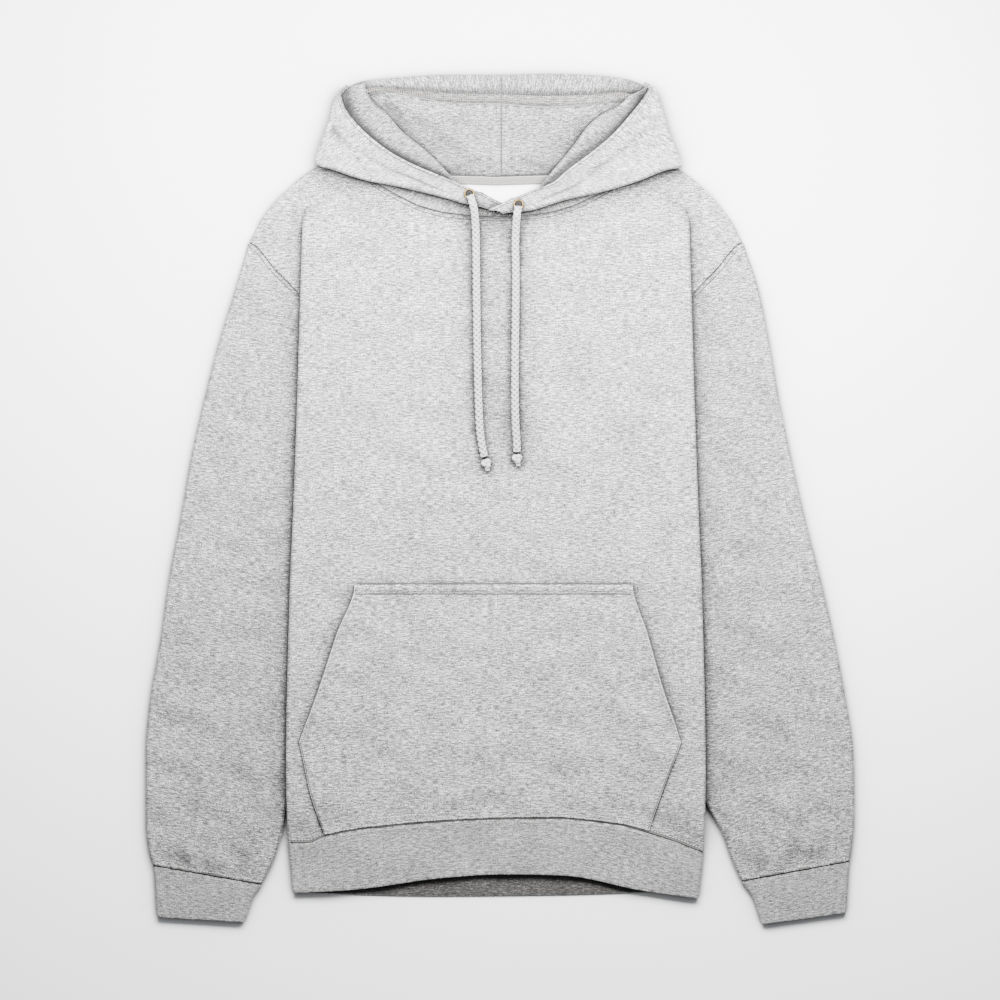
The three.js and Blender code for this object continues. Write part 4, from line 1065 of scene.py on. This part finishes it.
def hem_grid():
    low = RIB_WALL / 2
    radius = (HEM_TOP - low) / 2
    out = np.linspace(-1, 1, 620) * (HEM_HALF - radius)
    rows = []
    for down in np.linspace(0, 1, 18):
        taper = lerp(1, HEM_EDGE_HALF / HEM_HALF, down)
        x = MIDDLE + out * taper
        end = lambda sign: np.array([MIDDLE + sign * HEM_HALF * taper])
        front_y = lambda at: lerp(front_hem_seam(at) - RIB_SEAM, front_hem_edge(at), down)
        back_y = lerp(back_hem_seam(x) - RIB_SEAM, back_hem_edge(x), down)
        sag = (1.2 * np.sin(x / 23) + 0.7 * np.sin(x / 12 + 1)) * ease(down * 2) * ease((1 - down) * 3)
        sag += 0.4 * np.sin(x / 9 + 1) * down
        sag += 0.9 * (1 - ease(down / 0.15))
        face = np.stack([x, front_y(x), HEM_TOP + sag], 1)
        under = np.stack([x, back_y, low + 0 * x], 1)[::-1]
        arcs = []
        for sign, a, b in ((1, HEM_TOP, low), (-1, low, HEM_TOP)):
            point = np.stack([end(sign), front_y(MIDDLE + sign * HEM_HALF) + 0 * end(sign)], 1)
            arcs.append(edge_arc(point, np.array([[sign, 0.0]]), np.array([a]), np.array([b]))[0])
        rows.append(np.concatenate([face, arcs[0], under, arcs[1]]))
    return np.array(rows)[::-1]


hem_wall = wall(ribbed(hem_grid(), 1), RIB_WALL, ring=True, rim=0.7)
hem = piece("hem_rib", hem_wall, [rib, rib_inside_shaded, rib], ["hem_band"])


# Pocket
POCKET_LIFT = 0.0016  # how far above the hem seam it starts, as a share of the body's length


def pocket_grid():
    rows = []
    for up in np.linspace(POCKET_LIFT, POCKET_UP, 110):
        shares = np.sin(np.linspace(-1, 1, 130) * math.pi / 2)
        edge = np.where(shares < 0, pocket_edge[-1](up), pocket_edge[1](up))
        out = np.abs(shares) * edge
        x = MIDDLE + shares * edge
        y = body_y(x, up, front_hem_seam, front_top)
        lifted = BODY_RELIEF * relief(x, y, FRONT_CREASES) + undulation(x, y)
        z = front_height(out, up) + lifted * ease((fold_half(up) - out) / 20) + WALL + SEAM + 0.1
        slant = ease((up - 0.165) / 0.02) * ease((POCKET_UP - up) / 0.03)
        opening = 3.0 * np.exp(-(edge - out) / 8) * slant
        down = (POCKET_UP - up) * BODY_LENGTH
        rolled = 1.4 * math.exp(-(((down - 4.2) / 3.0) ** 2))
        rolled -= 0.8 * math.exp(-(((down - 9.6) / 1.8) ** 2))
        z += opening + rolled + relief(x, y, POCKET_CREASES) * ease((edge - out) / 25)
        rows.append(np.stack([x, y, z], 1))
    return np.array(rows)


pocket = piece(
    "pocket", wall(pocket_grid(), WALL, rim=0.6, grain=0), [cloth, fleece, cloth],
    ["kangaroo_pocket"],
)


# Neck tape
TAPE_WIDE, TAPE_THICK, TAPE_REACH = 7.0, 1.0, 108.0


def tape_grid():
    out = np.linspace(-TAPE_REACH, TAPE_REACH, 120)
    rows = []
    for across in np.linspace(1, 0, 6):
        y = back_top(np.abs(out)) - 1 - across * TAPE_WIDE
        rows.append(np.stack([MIDDLE + out, y, 0 * out + WALL + SEAM + TAPE_THICK / 2], 1))
    return np.array(rows)


tape = piece("tape", wall(tape_grid(), TAPE_THICK, rim=0.3), [tape_cloth] * 3, ["neck_tape"])


# Hood: doubled cloth, folded between the neck seam and the rim
DOUBLED = 2 * HOOD_WALL + SEAM
FALL = 26.0
RIDGE_DROP = 3.0


def neck_points(x, top):
    shares = np.array([0, 0.18, 0.36, 0.52, 0.68, 0.84, 1]) * NECK_SIDE
    return np.stack([x, np.interp(np.abs(x - MIDDLE), shares, top(shares)) + NECK_SEAM], -1)


WING_SWELL = 2.6  # how much the outer folds of the hood stand up
RIM_RISE = 2.2
RIM_REACH = 13.0
CASING, CASING_MIDDLE = 21.5, 12.0  # how far the drawcord's casing and its middle are from the rim


def hood_side_grid(rows, count=120):
    fine = stations(rows, count)
    neck = neck_points(fine["nx"], front_top)
    keys = [neck] + [np.stack([fine[k + "x"], fine[k + "y"]], 1) for k in ("u", "l", "r")]
    radii = [HOOD_STEP / 2, (HOOD_STEP + WING_SWELL) / 2]
    second = NECK_HEIGHT + HOOD_STEP
    sections = []
    for s in range(count):
        k = [key[s] for key in keys]
        lz = fine["lz"][s]
        length = [np.linalg.norm(k[i + 1] - k[i]) for i in range(3)]
        fall = min(FALL, length[1])
        top_swell = WING_SWELL * ease(length[2] / 20)
        off_fold = lambda far: lerp(lz, max(second, lz), ease(far / fall))
        rising = lambda t: RIM_RISE * ease(1 - (1 - t) * length[2] / RIM_REACH) * ease(length[2] / 16)
        swell = lambda t: top_swell * (1 - 0.75 * ease(t * length[2] / 34))
        dip = lambda t: -1.0 * np.exp(-(((1 - t) * length[1] - length[2] - 2) / 5) ** 2)
        heights = [
            lambda t: NECK_HEIGHT + 0 * t,
            (lambda t: lerp(second, lz, ease(t))) if lz > second else (
                lambda t: off_fold((1 - t) * length[1]) + dip(t)
            ),
            lambda t: off_fold(t * length[2]) + HOOD_STEP + swell(t) + rising(t),
        ]
        points = []
        for leg, steps in enumerate((16, 30, 34)):
            along = unit(k[leg + 1] - k[leg])
            start = k[leg] + along * radii[leg - 1] if leg else k[leg]
            end = k[leg + 1] - along * radii[leg] if leg < 2 else k[leg + 1]
            t = np.linspace(0, 1, steps + 1)[1 if leg else 0:]
            xy = start + (end - start) * t[:, None]
            points.append(np.concatenate([xy, heights[leg](t)[:, None]], 1))
            if leg == 2:
                break
            following = unit(k[leg + 2] - k[leg + 1])
            next_start = k[leg + 1] + following * radii[leg]
            turn = np.arange(1, 9) / 8
            angle = math.pi * (turn - 0.5)
            out = unit(along - following) * radii[leg] * np.cos(angle)[:, None]
            base = end + (next_start - end) * turn[:, None]
            one = np.ones(1)
            z = lerp(heights[leg](one)[0], heights[leg + 1](0 * one)[0], (1 + np.sin(angle)) / 2)
            points.append(np.concatenate([base + out, z[:, None]], 1))
        sections.append(np.concatenate(points))
    return np.array(sections)


BACK_STEPS = 40  # points from the neck seam to the ridge
BACK_TURN = BACK_STEPS + 9  # where the brim's band starts
# The brim's points from ridge to rim, where the whole way is 30
BRIM_STEPS = np.array([
    0.3, 0.8, 1.2, 1.7, 2.6, 5, 8, 11, 12.5, 13.4, 14.2, 15.2, 16.5, 18.5, 21, 24, 27, 29,
])


def hood_back_grid(rows, count=90):
    fine = stations(rows, count)
    neck = neck_points(fine["nx"], back_top)
    ridge = np.stack([fine["kx"], fine["ky"]], 1)
    rim = np.stack([fine["rx"], fine["ry"]], 1)
    sections = []
    for s in range(count):
        ahead = unit(rim[s] - ridge[s])
        reach = np.linalg.norm(rim[s] - ridge[s])
        kz, rz = fine["kz"][s], fine["rz"][s]
        full = ease((kz - HOOD_LOW) / 2.5)
        t = np.linspace(0, 1, BACK_STEPS)
        xy = neck[s] + (ridge[s] - neck[s]) * t[:, None]
        hump = lerp(HOOD_LOW, kz + 1.5 * full, ease((t - 0.55) / 0.4))
        lower = np.concatenate([xy, hump[:, None]], 1)
        # Past the ridge: down to the strip, a crease, and the rounded band up to the rim
        share = BRIM_STEPS / 30
        far = BRIM_STEPS * reach / 30
        drop = lerp(kz + 1.5 * full, HOOD_LOW, ease(far / RIDGE_DROP))
        band = HOOD_LOW + (rz - HOOD_LOW + 1.8) * np.sqrt(np.clip((share - 0.45) / 0.18, 0, 1))
        band = np.maximum(band - 1.6 * ease((share - 0.7) / 0.3), HOOD_LOW)
        z = np.where(share < 0.45, drop + 0.5 * ease((share - 0.2) / 0.2) * full, band)
        upper = np.concatenate([ridge[s] + ahead * far[:, None], z[:, None]], 1)
        last = np.array([[*rim[s], HOOD_LOW + (rz - HOOD_LOW) * 0.7]])
        sections.append(np.concatenate([lower, upper, last]))
    return np.array(sections)


hood = {}
for name, side, back_rows, side_rows in (
    ("left", 1, HOOD_BACK_LEFT, HOOD_SIDE_LEFT), ("right", -1, HOOD_BACK_RIGHT, HOOD_SIDE_RIGHT),
):
    grid = hood_back_grid(back_rows)
    lift = HOOD_RELIEF * relief(grid[..., 0], grid[..., 1], LINING_CREASES)
    lift += undulation(grid[..., 0], grid[..., 1], 0.12)
    shown = ease(np.arange(grid.shape[1]) / 5) * ease((BACK_STEPS - 1 - np.arange(grid.shape[1])) / 4)
    grid[..., 2] += (1.5 + lift) * shown[None]
    grid[..., 2] = np.maximum(grid[..., 2], HOOD_LOW + 0.2)
    points, faces, uvs, kinds = wall(grid, DOUBLED, rim=0.9, turned=BACK_TURN)
    uvs = uvs[..., ::-1]
    hood[f"back_{name}"] = piece(
        f"hood_back_{name}", (points, faces, uvs, kinds),
        [lining, cloth, cloth] if side > 0 else [cloth, lining, lining],
        [f"hood_back_outer_{name}", f"hood_back_lining_{name}"],
    )
    grid = hood_side_grid(side_rows)
    columns = np.arange(grid.shape[1])
    upper_leg = ease((columns - (grid.shape[1] - 32)) / 6) * ease((grid.shape[1] - 1 - columns) / 3)
    second_leg = ease((columns - 25) / 4) * ease((53 - columns) / 4)
    lift = HOOD_RELIEF * relief(grid[..., 0], grid[..., 1], HOOD_CREASES)
    grid[..., 2] += lift * upper_leg[None] + np.minimum(lift, 0.1) * second_leg[None] * 0.5
    rim_off = np.linalg.norm(grid[:, -1:, :2] - grid[..., :2], axis=2)
    casing = -1.5 * np.exp(-(((rim_off - CASING) / 3) ** 2))
    casing += 0.6 * np.exp(-(((rim_off - CASING_MIDDLE) / 6) ** 2))
    grid[..., 2] += casing * upper_leg[None]
    hood[f"side_{name}"] = piece(
        f"hood_wing_{name}", wall(grid, DOUBLED, rim=1.1),
        [lining, cloth, cloth] if side > 0 else [cloth, lining, cloth],
        [f"hood_side_outer_{name}", f"hood_side_lining_{name}"],
    )
    hood[f"rim_{name}"] = grid


# Eyelets

def lathe(profile, centre, sides=48):
    """A ring turned from (radius, height) points."""
    angle = np.linspace(0, 2 * math.pi, sides, endpoint=False)
    p = np.array(profile, float)
    x = p[None, :, 0] * np.cos(angle)[:, None] + centre[0]
    y = p[None, :, 0] * np.sin(angle)[:, None] + centre[1]
    z = p[None, :, 1] + centre[2] + 0 * x
    count = len(p)
    i, j = np.meshgrid(np.arange(sides), np.arange(count), indexing="ij")
    return np.stack([x, y, z], -1).reshape(-1, 3), tube_faces(i, j, sides, count)


EYELET_PROFILE = [
    (3.5, -1.2), (3.5, 0.4), (3.7, 0.85), (4.1, 1.1), (4.6, 1.05), (5.05, 0.75), (5.3, 0.3), (5.3, 0.0),
]
# A flat disc inside each eyelet, for painted shadow of its hole.
HOLE_SHADOW_PROFILE = [(0.1, 0.35), (3.49, 0.35), (3.49, 0.1), (0.1, 0.1)]


# Sewing: small raised stitches, and dark ribbons of painted seam shade, laid on the cloth by looking down
# on it

def tree_of(objects):
    points, faces = [], []
    for obj in objects:
        start = len(points)
        points += [tuple(v.co) for v in obj.data.vertices]
        faces += [[start + i for i in p.vertices] for p in obj.data.polygons]
    return BVHTree.FromPolygons(points, faces)


def even_steps(line, step):
    line = np.array(line, float)
    reached = np.concatenate([[0], np.cumsum(np.linalg.norm(np.diff(line, axis=0), axis=1))])
    at = np.arange(step / 2, reached[-1], step)
    places = np.stack([np.interp(at, reached, line[:, k]) for k in range(2)], 1)
    ahead = np.stack([np.interp(at + 0.5, reached, line[:, k]) for k in range(2)], 1)
    behind = np.stack([np.interp(at - 0.5, reached, line[:, k]) for k in range(2)], 1)
    return places, unit(ahead - behind)


def come_down(tree, x, y, flattest=-1.0, below=1000):
    """Where a point comes down on the cloth, and the cloth's normal there, or None."""
    hit, normal, _, _ = tree.ray_cast(Vector((x * MM, (y - CENTRE_Y) * MM, 0.1)), Vector((0, 0, -1)))
    if hit is None or normal.z < flattest or hit.z > below * MM:
        return None
    return np.array(hit) / MM + [0, CENTRE_Y, 0], np.array(normal)


for name, (x, y) in EYELETS.items():
    seat, _ = come_down(tree_of([hood[f"side_{name}"]]), x, y)
    place = (x, y, seat[2] + 0.1)
    ring = lathe(EYELET_PROFILE, place)
    loose_piece(f"eyelet_ring_{name}", *ring, metal, "eyelet", [f"eyelet_{name}"])
    # A near-black disc under the cord: painted shadow of the eyelet's hole.
    loose_piece(f"eyelet_hole_shadow_{name}", *lathe(HOLE_SHADOW_PROFILE, place), seam_groove_shade, "eyelet")


# One stitch: its corners as shares of its length, twice its width and its height, and its faces
STITCH_CORNERS = [
    (-0.5, 0, 0), (-0.32, 0.5, 0), (0.32, 0.5, 0), (0.5, 0, 0), (0.32, -0.5, 0), (-0.32, -0.5, 0),
    (-0.25, 0, 1), (0.25, 0, 1),
]
STITCH_FACES = [
    (0, 6, 1), (1, 6, 7), (1, 7, 2), (2, 7, 3), (3, 7, 4), (4, 7, 6), (4, 6, 5), (5, 6, 0),
    (0, 1, 2, 3, 4, 5),
]


def stitches(name, lines, targets, length=2.6, wide=0.34, high=0.3, gap=0.9, shade=thread, below=1000):
    """Rows of stitches along lines of x and y, lying on the highest of the targets there."""
    tree = tree_of(targets)
    points, faces = [], []
    for line in lines:
        places, heading = even_steps(line, length + gap)
        for (x, y), (hx, hy) in zip(places, heading):
            found = come_down(tree, x, y, 0.3, below)
            if found is None:
                continue
            place, normal = found
            along = unit(np.array([hx, hy, 0]) - normal * (np.array([hx, hy, 0]) @ normal))
            side = np.cross(normal, along)
            place = place - normal * 0.08
            start = len(points)
            for a, b, c in STITCH_CORNERS:
                points.append(place + along * a * length + side * b * wide * 2 + normal * c * high)
            faces += [[start + i for i in face] for face in STITCH_FACES]
    return loose_piece(name, points, faces, shade, "marl_fleece")


def seam_line(name, lines, targets, wide=0.42, high=0.12, shade=seam_groove_shade, below=1000):
    """Dark flat ribbons along lines of x and y on the seams' stitch rows: painted shade of their grooves.
    """
    tree = tree_of(targets)
    points, faces = [], []
    for line in lines:
        places, heading = even_steps(line, 1.2)
        last = None
        for (x, y), (hx, hy) in zip(places, heading):
            found = come_down(tree, x, y, 0.2, below)
            if found is None:
                last = None
                continue
            middle, normal = found
            side = unit(np.cross(normal, np.array([hx, hy, 0])))
            start = len(points)
            for across, up in ((-1, -0.3), (-0.6, high), (0.6, high), (1, -0.3)):
                points.append(middle + side * wide * across + normal * up)
            if last is None:
                faces.append([start + 3, start + 2, start + 1, start])
            else:
                for i, following in ((0, 1), (1, 2), (2, 3), (3, 0)):
                    faces.append([last + i, last + following, start + following, start + i])
            last = start
        if last is not None:
            faces.append([last, last + 1, last + 2, last + 3])
    return loose_piece(name, points, faces, shade, "marl_fleece")


def shifted(line, off):
    """The line moved sideways to its left."""
    line = np.array(line, float)
    along = unit(differences(line, 0))
    return line + np.stack([-along[:, 1], along[:, 0]], 1) * off


xs = np.linspace(-200, 192, 120)
hem_line = np.stack([xs, front_hem_seam(xs)], 1)
hem_rows = [shifted(hem_line, off) for off in (2.2, 8.0)]
hem_stitching = stitches("hem_stitching", hem_rows, [front, pocket], 2.2, 0.5, 0.5, 0.8)
band_row = shifted(hem_line, -3.4)
hem_band_stitching = stitches("hem_band_stitching", [band_row], [hem], 1.8, 0.3, 0.3, 1.2)
# A near-black ribbon over the hem seam: painted shade of its groove.
hem_seam = seam_line("hem_seam", [shifted(hem_line, 0.35)], [front, hem], 1.15, 1.1, seam_shade)
for name, side, _, cuff_rows, _ in SIDES:
    xs = np.linspace(*sorted([cuff_rows["ox"][0], cuff_rows["ix"][0]]), 60)
    across = (xs - cuff_rows["ox"][0]) / (cuff_rows["ix"][0] - cuff_rows["ox"][0])
    ys = lerp(cuff_rows["oy"][0], cuff_rows["iy"][0], across)
    ys = ys + 1.0 + 0.5 * np.sin(xs / 5) + 0.3 * np.sin(xs / 2.3)
    cuff_line = np.stack([xs, ys], 1)
    # A near-black wavy ribbon at the cuff seam: painted shade of its puckered groove.
    seam = seam_line(f"cuff_seam_{name}", [cuff_line], [sleeves[name]], 1.0, 0.15, seam_shade)
    cuff_row = shifted(cuff_line, 2.2)
    sewn = stitches(f"cuff_stitching_{name}", [cuff_row], [sleeves[name]], 2.0, 0.5, 0.5, 0.9)
    arm, _ = armhole(side)
    arm = arm[side * (arm[:, 0] - MIDDLE) > fold_half(body_up(arm[:, 1])) + 0.5]
    away = 1 if side < 0 else -1
    near = [sleeves[name], front]
    lines = [shifted(arm, -away * 0.4), shifted(arm, -away * 4.2)]
    # The twin stitch rows are drawn as near-black ribbons: painted shade of their grooves.
    seam_line(f"armhole_seam_{name}", lines, near, 0.42)
outs = np.linspace(-140, 140, 120)
neck_line = np.stack([MIDDLE + outs, front_top(np.abs(outs))], 1)
wings = [hood["side_left"], hood["side_right"]]
neck_lines = [shifted(neck_line, 0.5), shifted(neck_line, -3.4)]
# The neck seam's two rows are near-black ribbons: painted shade of their grooves.
neck_seam = seam_line("neck_seam", neck_lines, [front, *wings], below=9.2)
neck_rows = [shifted(neck_line, off) for off in (4.2, 6.2)]
neck_stitching = stitches("neck_stitching", neck_rows, wings, 1.3, 0.26, 0.2, 1.1, beige_thread, 9.2)
for name, back_rows in (("left", HOOD_BACK_LEFT), ("right", HOOD_BACK_RIGHT)):
    fine = stations(back_rows, 90)
    ridge = np.stack([fine["kx"], fine["ky"]], 1)[:86]
    rim_line = np.stack([fine["rx"], fine["ry"]], 1)[:86]
    brim_rows = [ridge + (rim_line - ridge) * share for share in (0.2, 0.26, 0.33, 0.39)]
    stitches(
        f"brim_stitching_{name}", brim_rows, [hood[f"back_{name}"]], 1.6, 0.4, 0.35, 0.6, beige_thread,
    )
tape_rows = [np.stack([MIDDLE + outs, back_top(np.abs(outs)) - down], 1)[20:-20] for down in (2.8, 6.4)]
tape_stitching = stitches("tape_stitching", tape_rows, [tape], 1.6, 0.3, 0.2, 0.8, beige_thread)
pocket_top = np.array([(MIDDLE - 134, POCKET_Y), (MIDDLE + 130, POCKET_Y)])
ups = np.linspace(0.155, POCKET_UP - 0.004, 50)
lower = np.linspace(0.006, 0.152, 24)


def pocket_line(side, inset, ups):
    x = MIDDLE + side * (pocket_edge[side](ups) - inset)
    return np.stack([x, [body_y(a, b, front_hem_seam, front_top) for a, b in zip(x, ups)]], 1)


def both_sides(inset, ups):
    return [pocket_line(side, inset, ups) for side in (-1, 1)]


# The pocket's seam ribbons are painted shade of its seams; the stitches are pale thread.
pocket_sewing = [
    seam_line("pocket_seam", both_sides(0.9, lower), [pocket], 0.5, 0.25, seam_shade),
    seam_line("pocket_top_seam", [shifted(pocket_top, -9.4)], [pocket], 0.4, 0.25, seam_shade),
    stitches("pocket_top_stitching", [shifted(pocket_top, -7.8)], [pocket], wide=0.3, high=0.3),
    stitches("pocket_hem_stitching", both_sides(23, ups[:-6]), [pocket], wide=0.2, high=0.12),
]
# Dark ribbons on the front just outside the pocket's slanted edges and its top: painted shadow of the
# pocket's edge.
edge_lines = [*both_sides(-0.9, ups), shifted(pocket_top, 1.0)]
pocket_edge_shadow = seam_line("pocket_edge_shadow", edge_lines, [front], 0.55, 0.15, seam_shade)
for name in ("left", "right"):
    grid = hood[f"rim_{name}"]
    inset = grid[:, -1, :2] - unit(grid[:, -1, :2] - grid[:, -8, :2]) * 3.4
    # The rim's topstitch row is a near-black ribbon: painted shade of its groove.
    seam_line(f"rim_stitching_{name}", [inset[6:]], [hood[f"side_{name}"]], 0.34)


# Floor and light
bpy.ops.mesh.primitive_plane_add(size=12, location=(0, 0, 0))
floor = bpy.context.object
floor.name = "floor"
floor_material, floor_shader = material("pale_floor", 0.9)
floor_tree = floor_material.node_tree
floor_place = add(floor_tree, "ShaderNodeTexCoord").outputs["Object"]
floor_split = add(floor_tree, "ShaderNodeSeparateXYZ")
floor_tree.links.new(floor_place, floor_split.inputs[0])
floor_range = add(floor_tree, "ShaderNodeMapRange")
floor_range.inputs["From Min"].default_value = -0.5
floor_range.inputs["From Max"].default_value = 0.5
floor_tree.links.new(floor_split.outputs["Y"], floor_range.inputs["Value"])
# The floor is painted light: darker under the softbox and paler away from it, evening out the lamp's
# falloff; its painted crease shade is a painted shadow round the garment.
tone_far_from_lamp, tone_under_lamp = grey(0.82, -0.004), grey(0.46, -0.004)
floor_painted_light = ramp(floor_tree, floor_range.outputs["Result"], [(0.0, tone_far_from_lamp), (1.0, tone_under_lamp)])
floor_tree.links.new(painted_crease_shade(floor_tree, floor_painted_light, 0.12, 2.0), floor_shader.inputs["Base Color"])
floor.data.materials.append(floor_material)


def area_light(name, place, target, size, power):
    light = bpy.data.lights.new(name, "AREA")
    light.shape = "RECTANGLE"
    light.size, light.size_y = size
    light.energy = power
    obj = bpy.data.objects.new(name, light)
    obj.location = place
    obj.rotation_mode = "QUATERNION"
    obj.rotation_quaternion = (Vector(target) - Vector(place)).to_track_quat("-Z", "Y")
    bpy.context.scene.collection.objects.link(obj)


area_light("softbox", (0.02, 0.52, 0.66), (0.0, 0.42, 0), (1.2, 0.6), 118)
world = bpy.data.worlds.new("studio")
bpy.context.scene.world = world
world.use_nodes = True
world.node_tree.nodes["Background"].inputs["Color"].default_value = (0.95, 0.97, 1.0, 1)
world.node_tree.nodes["Background"].inputs["Strength"].default_value = 0.5
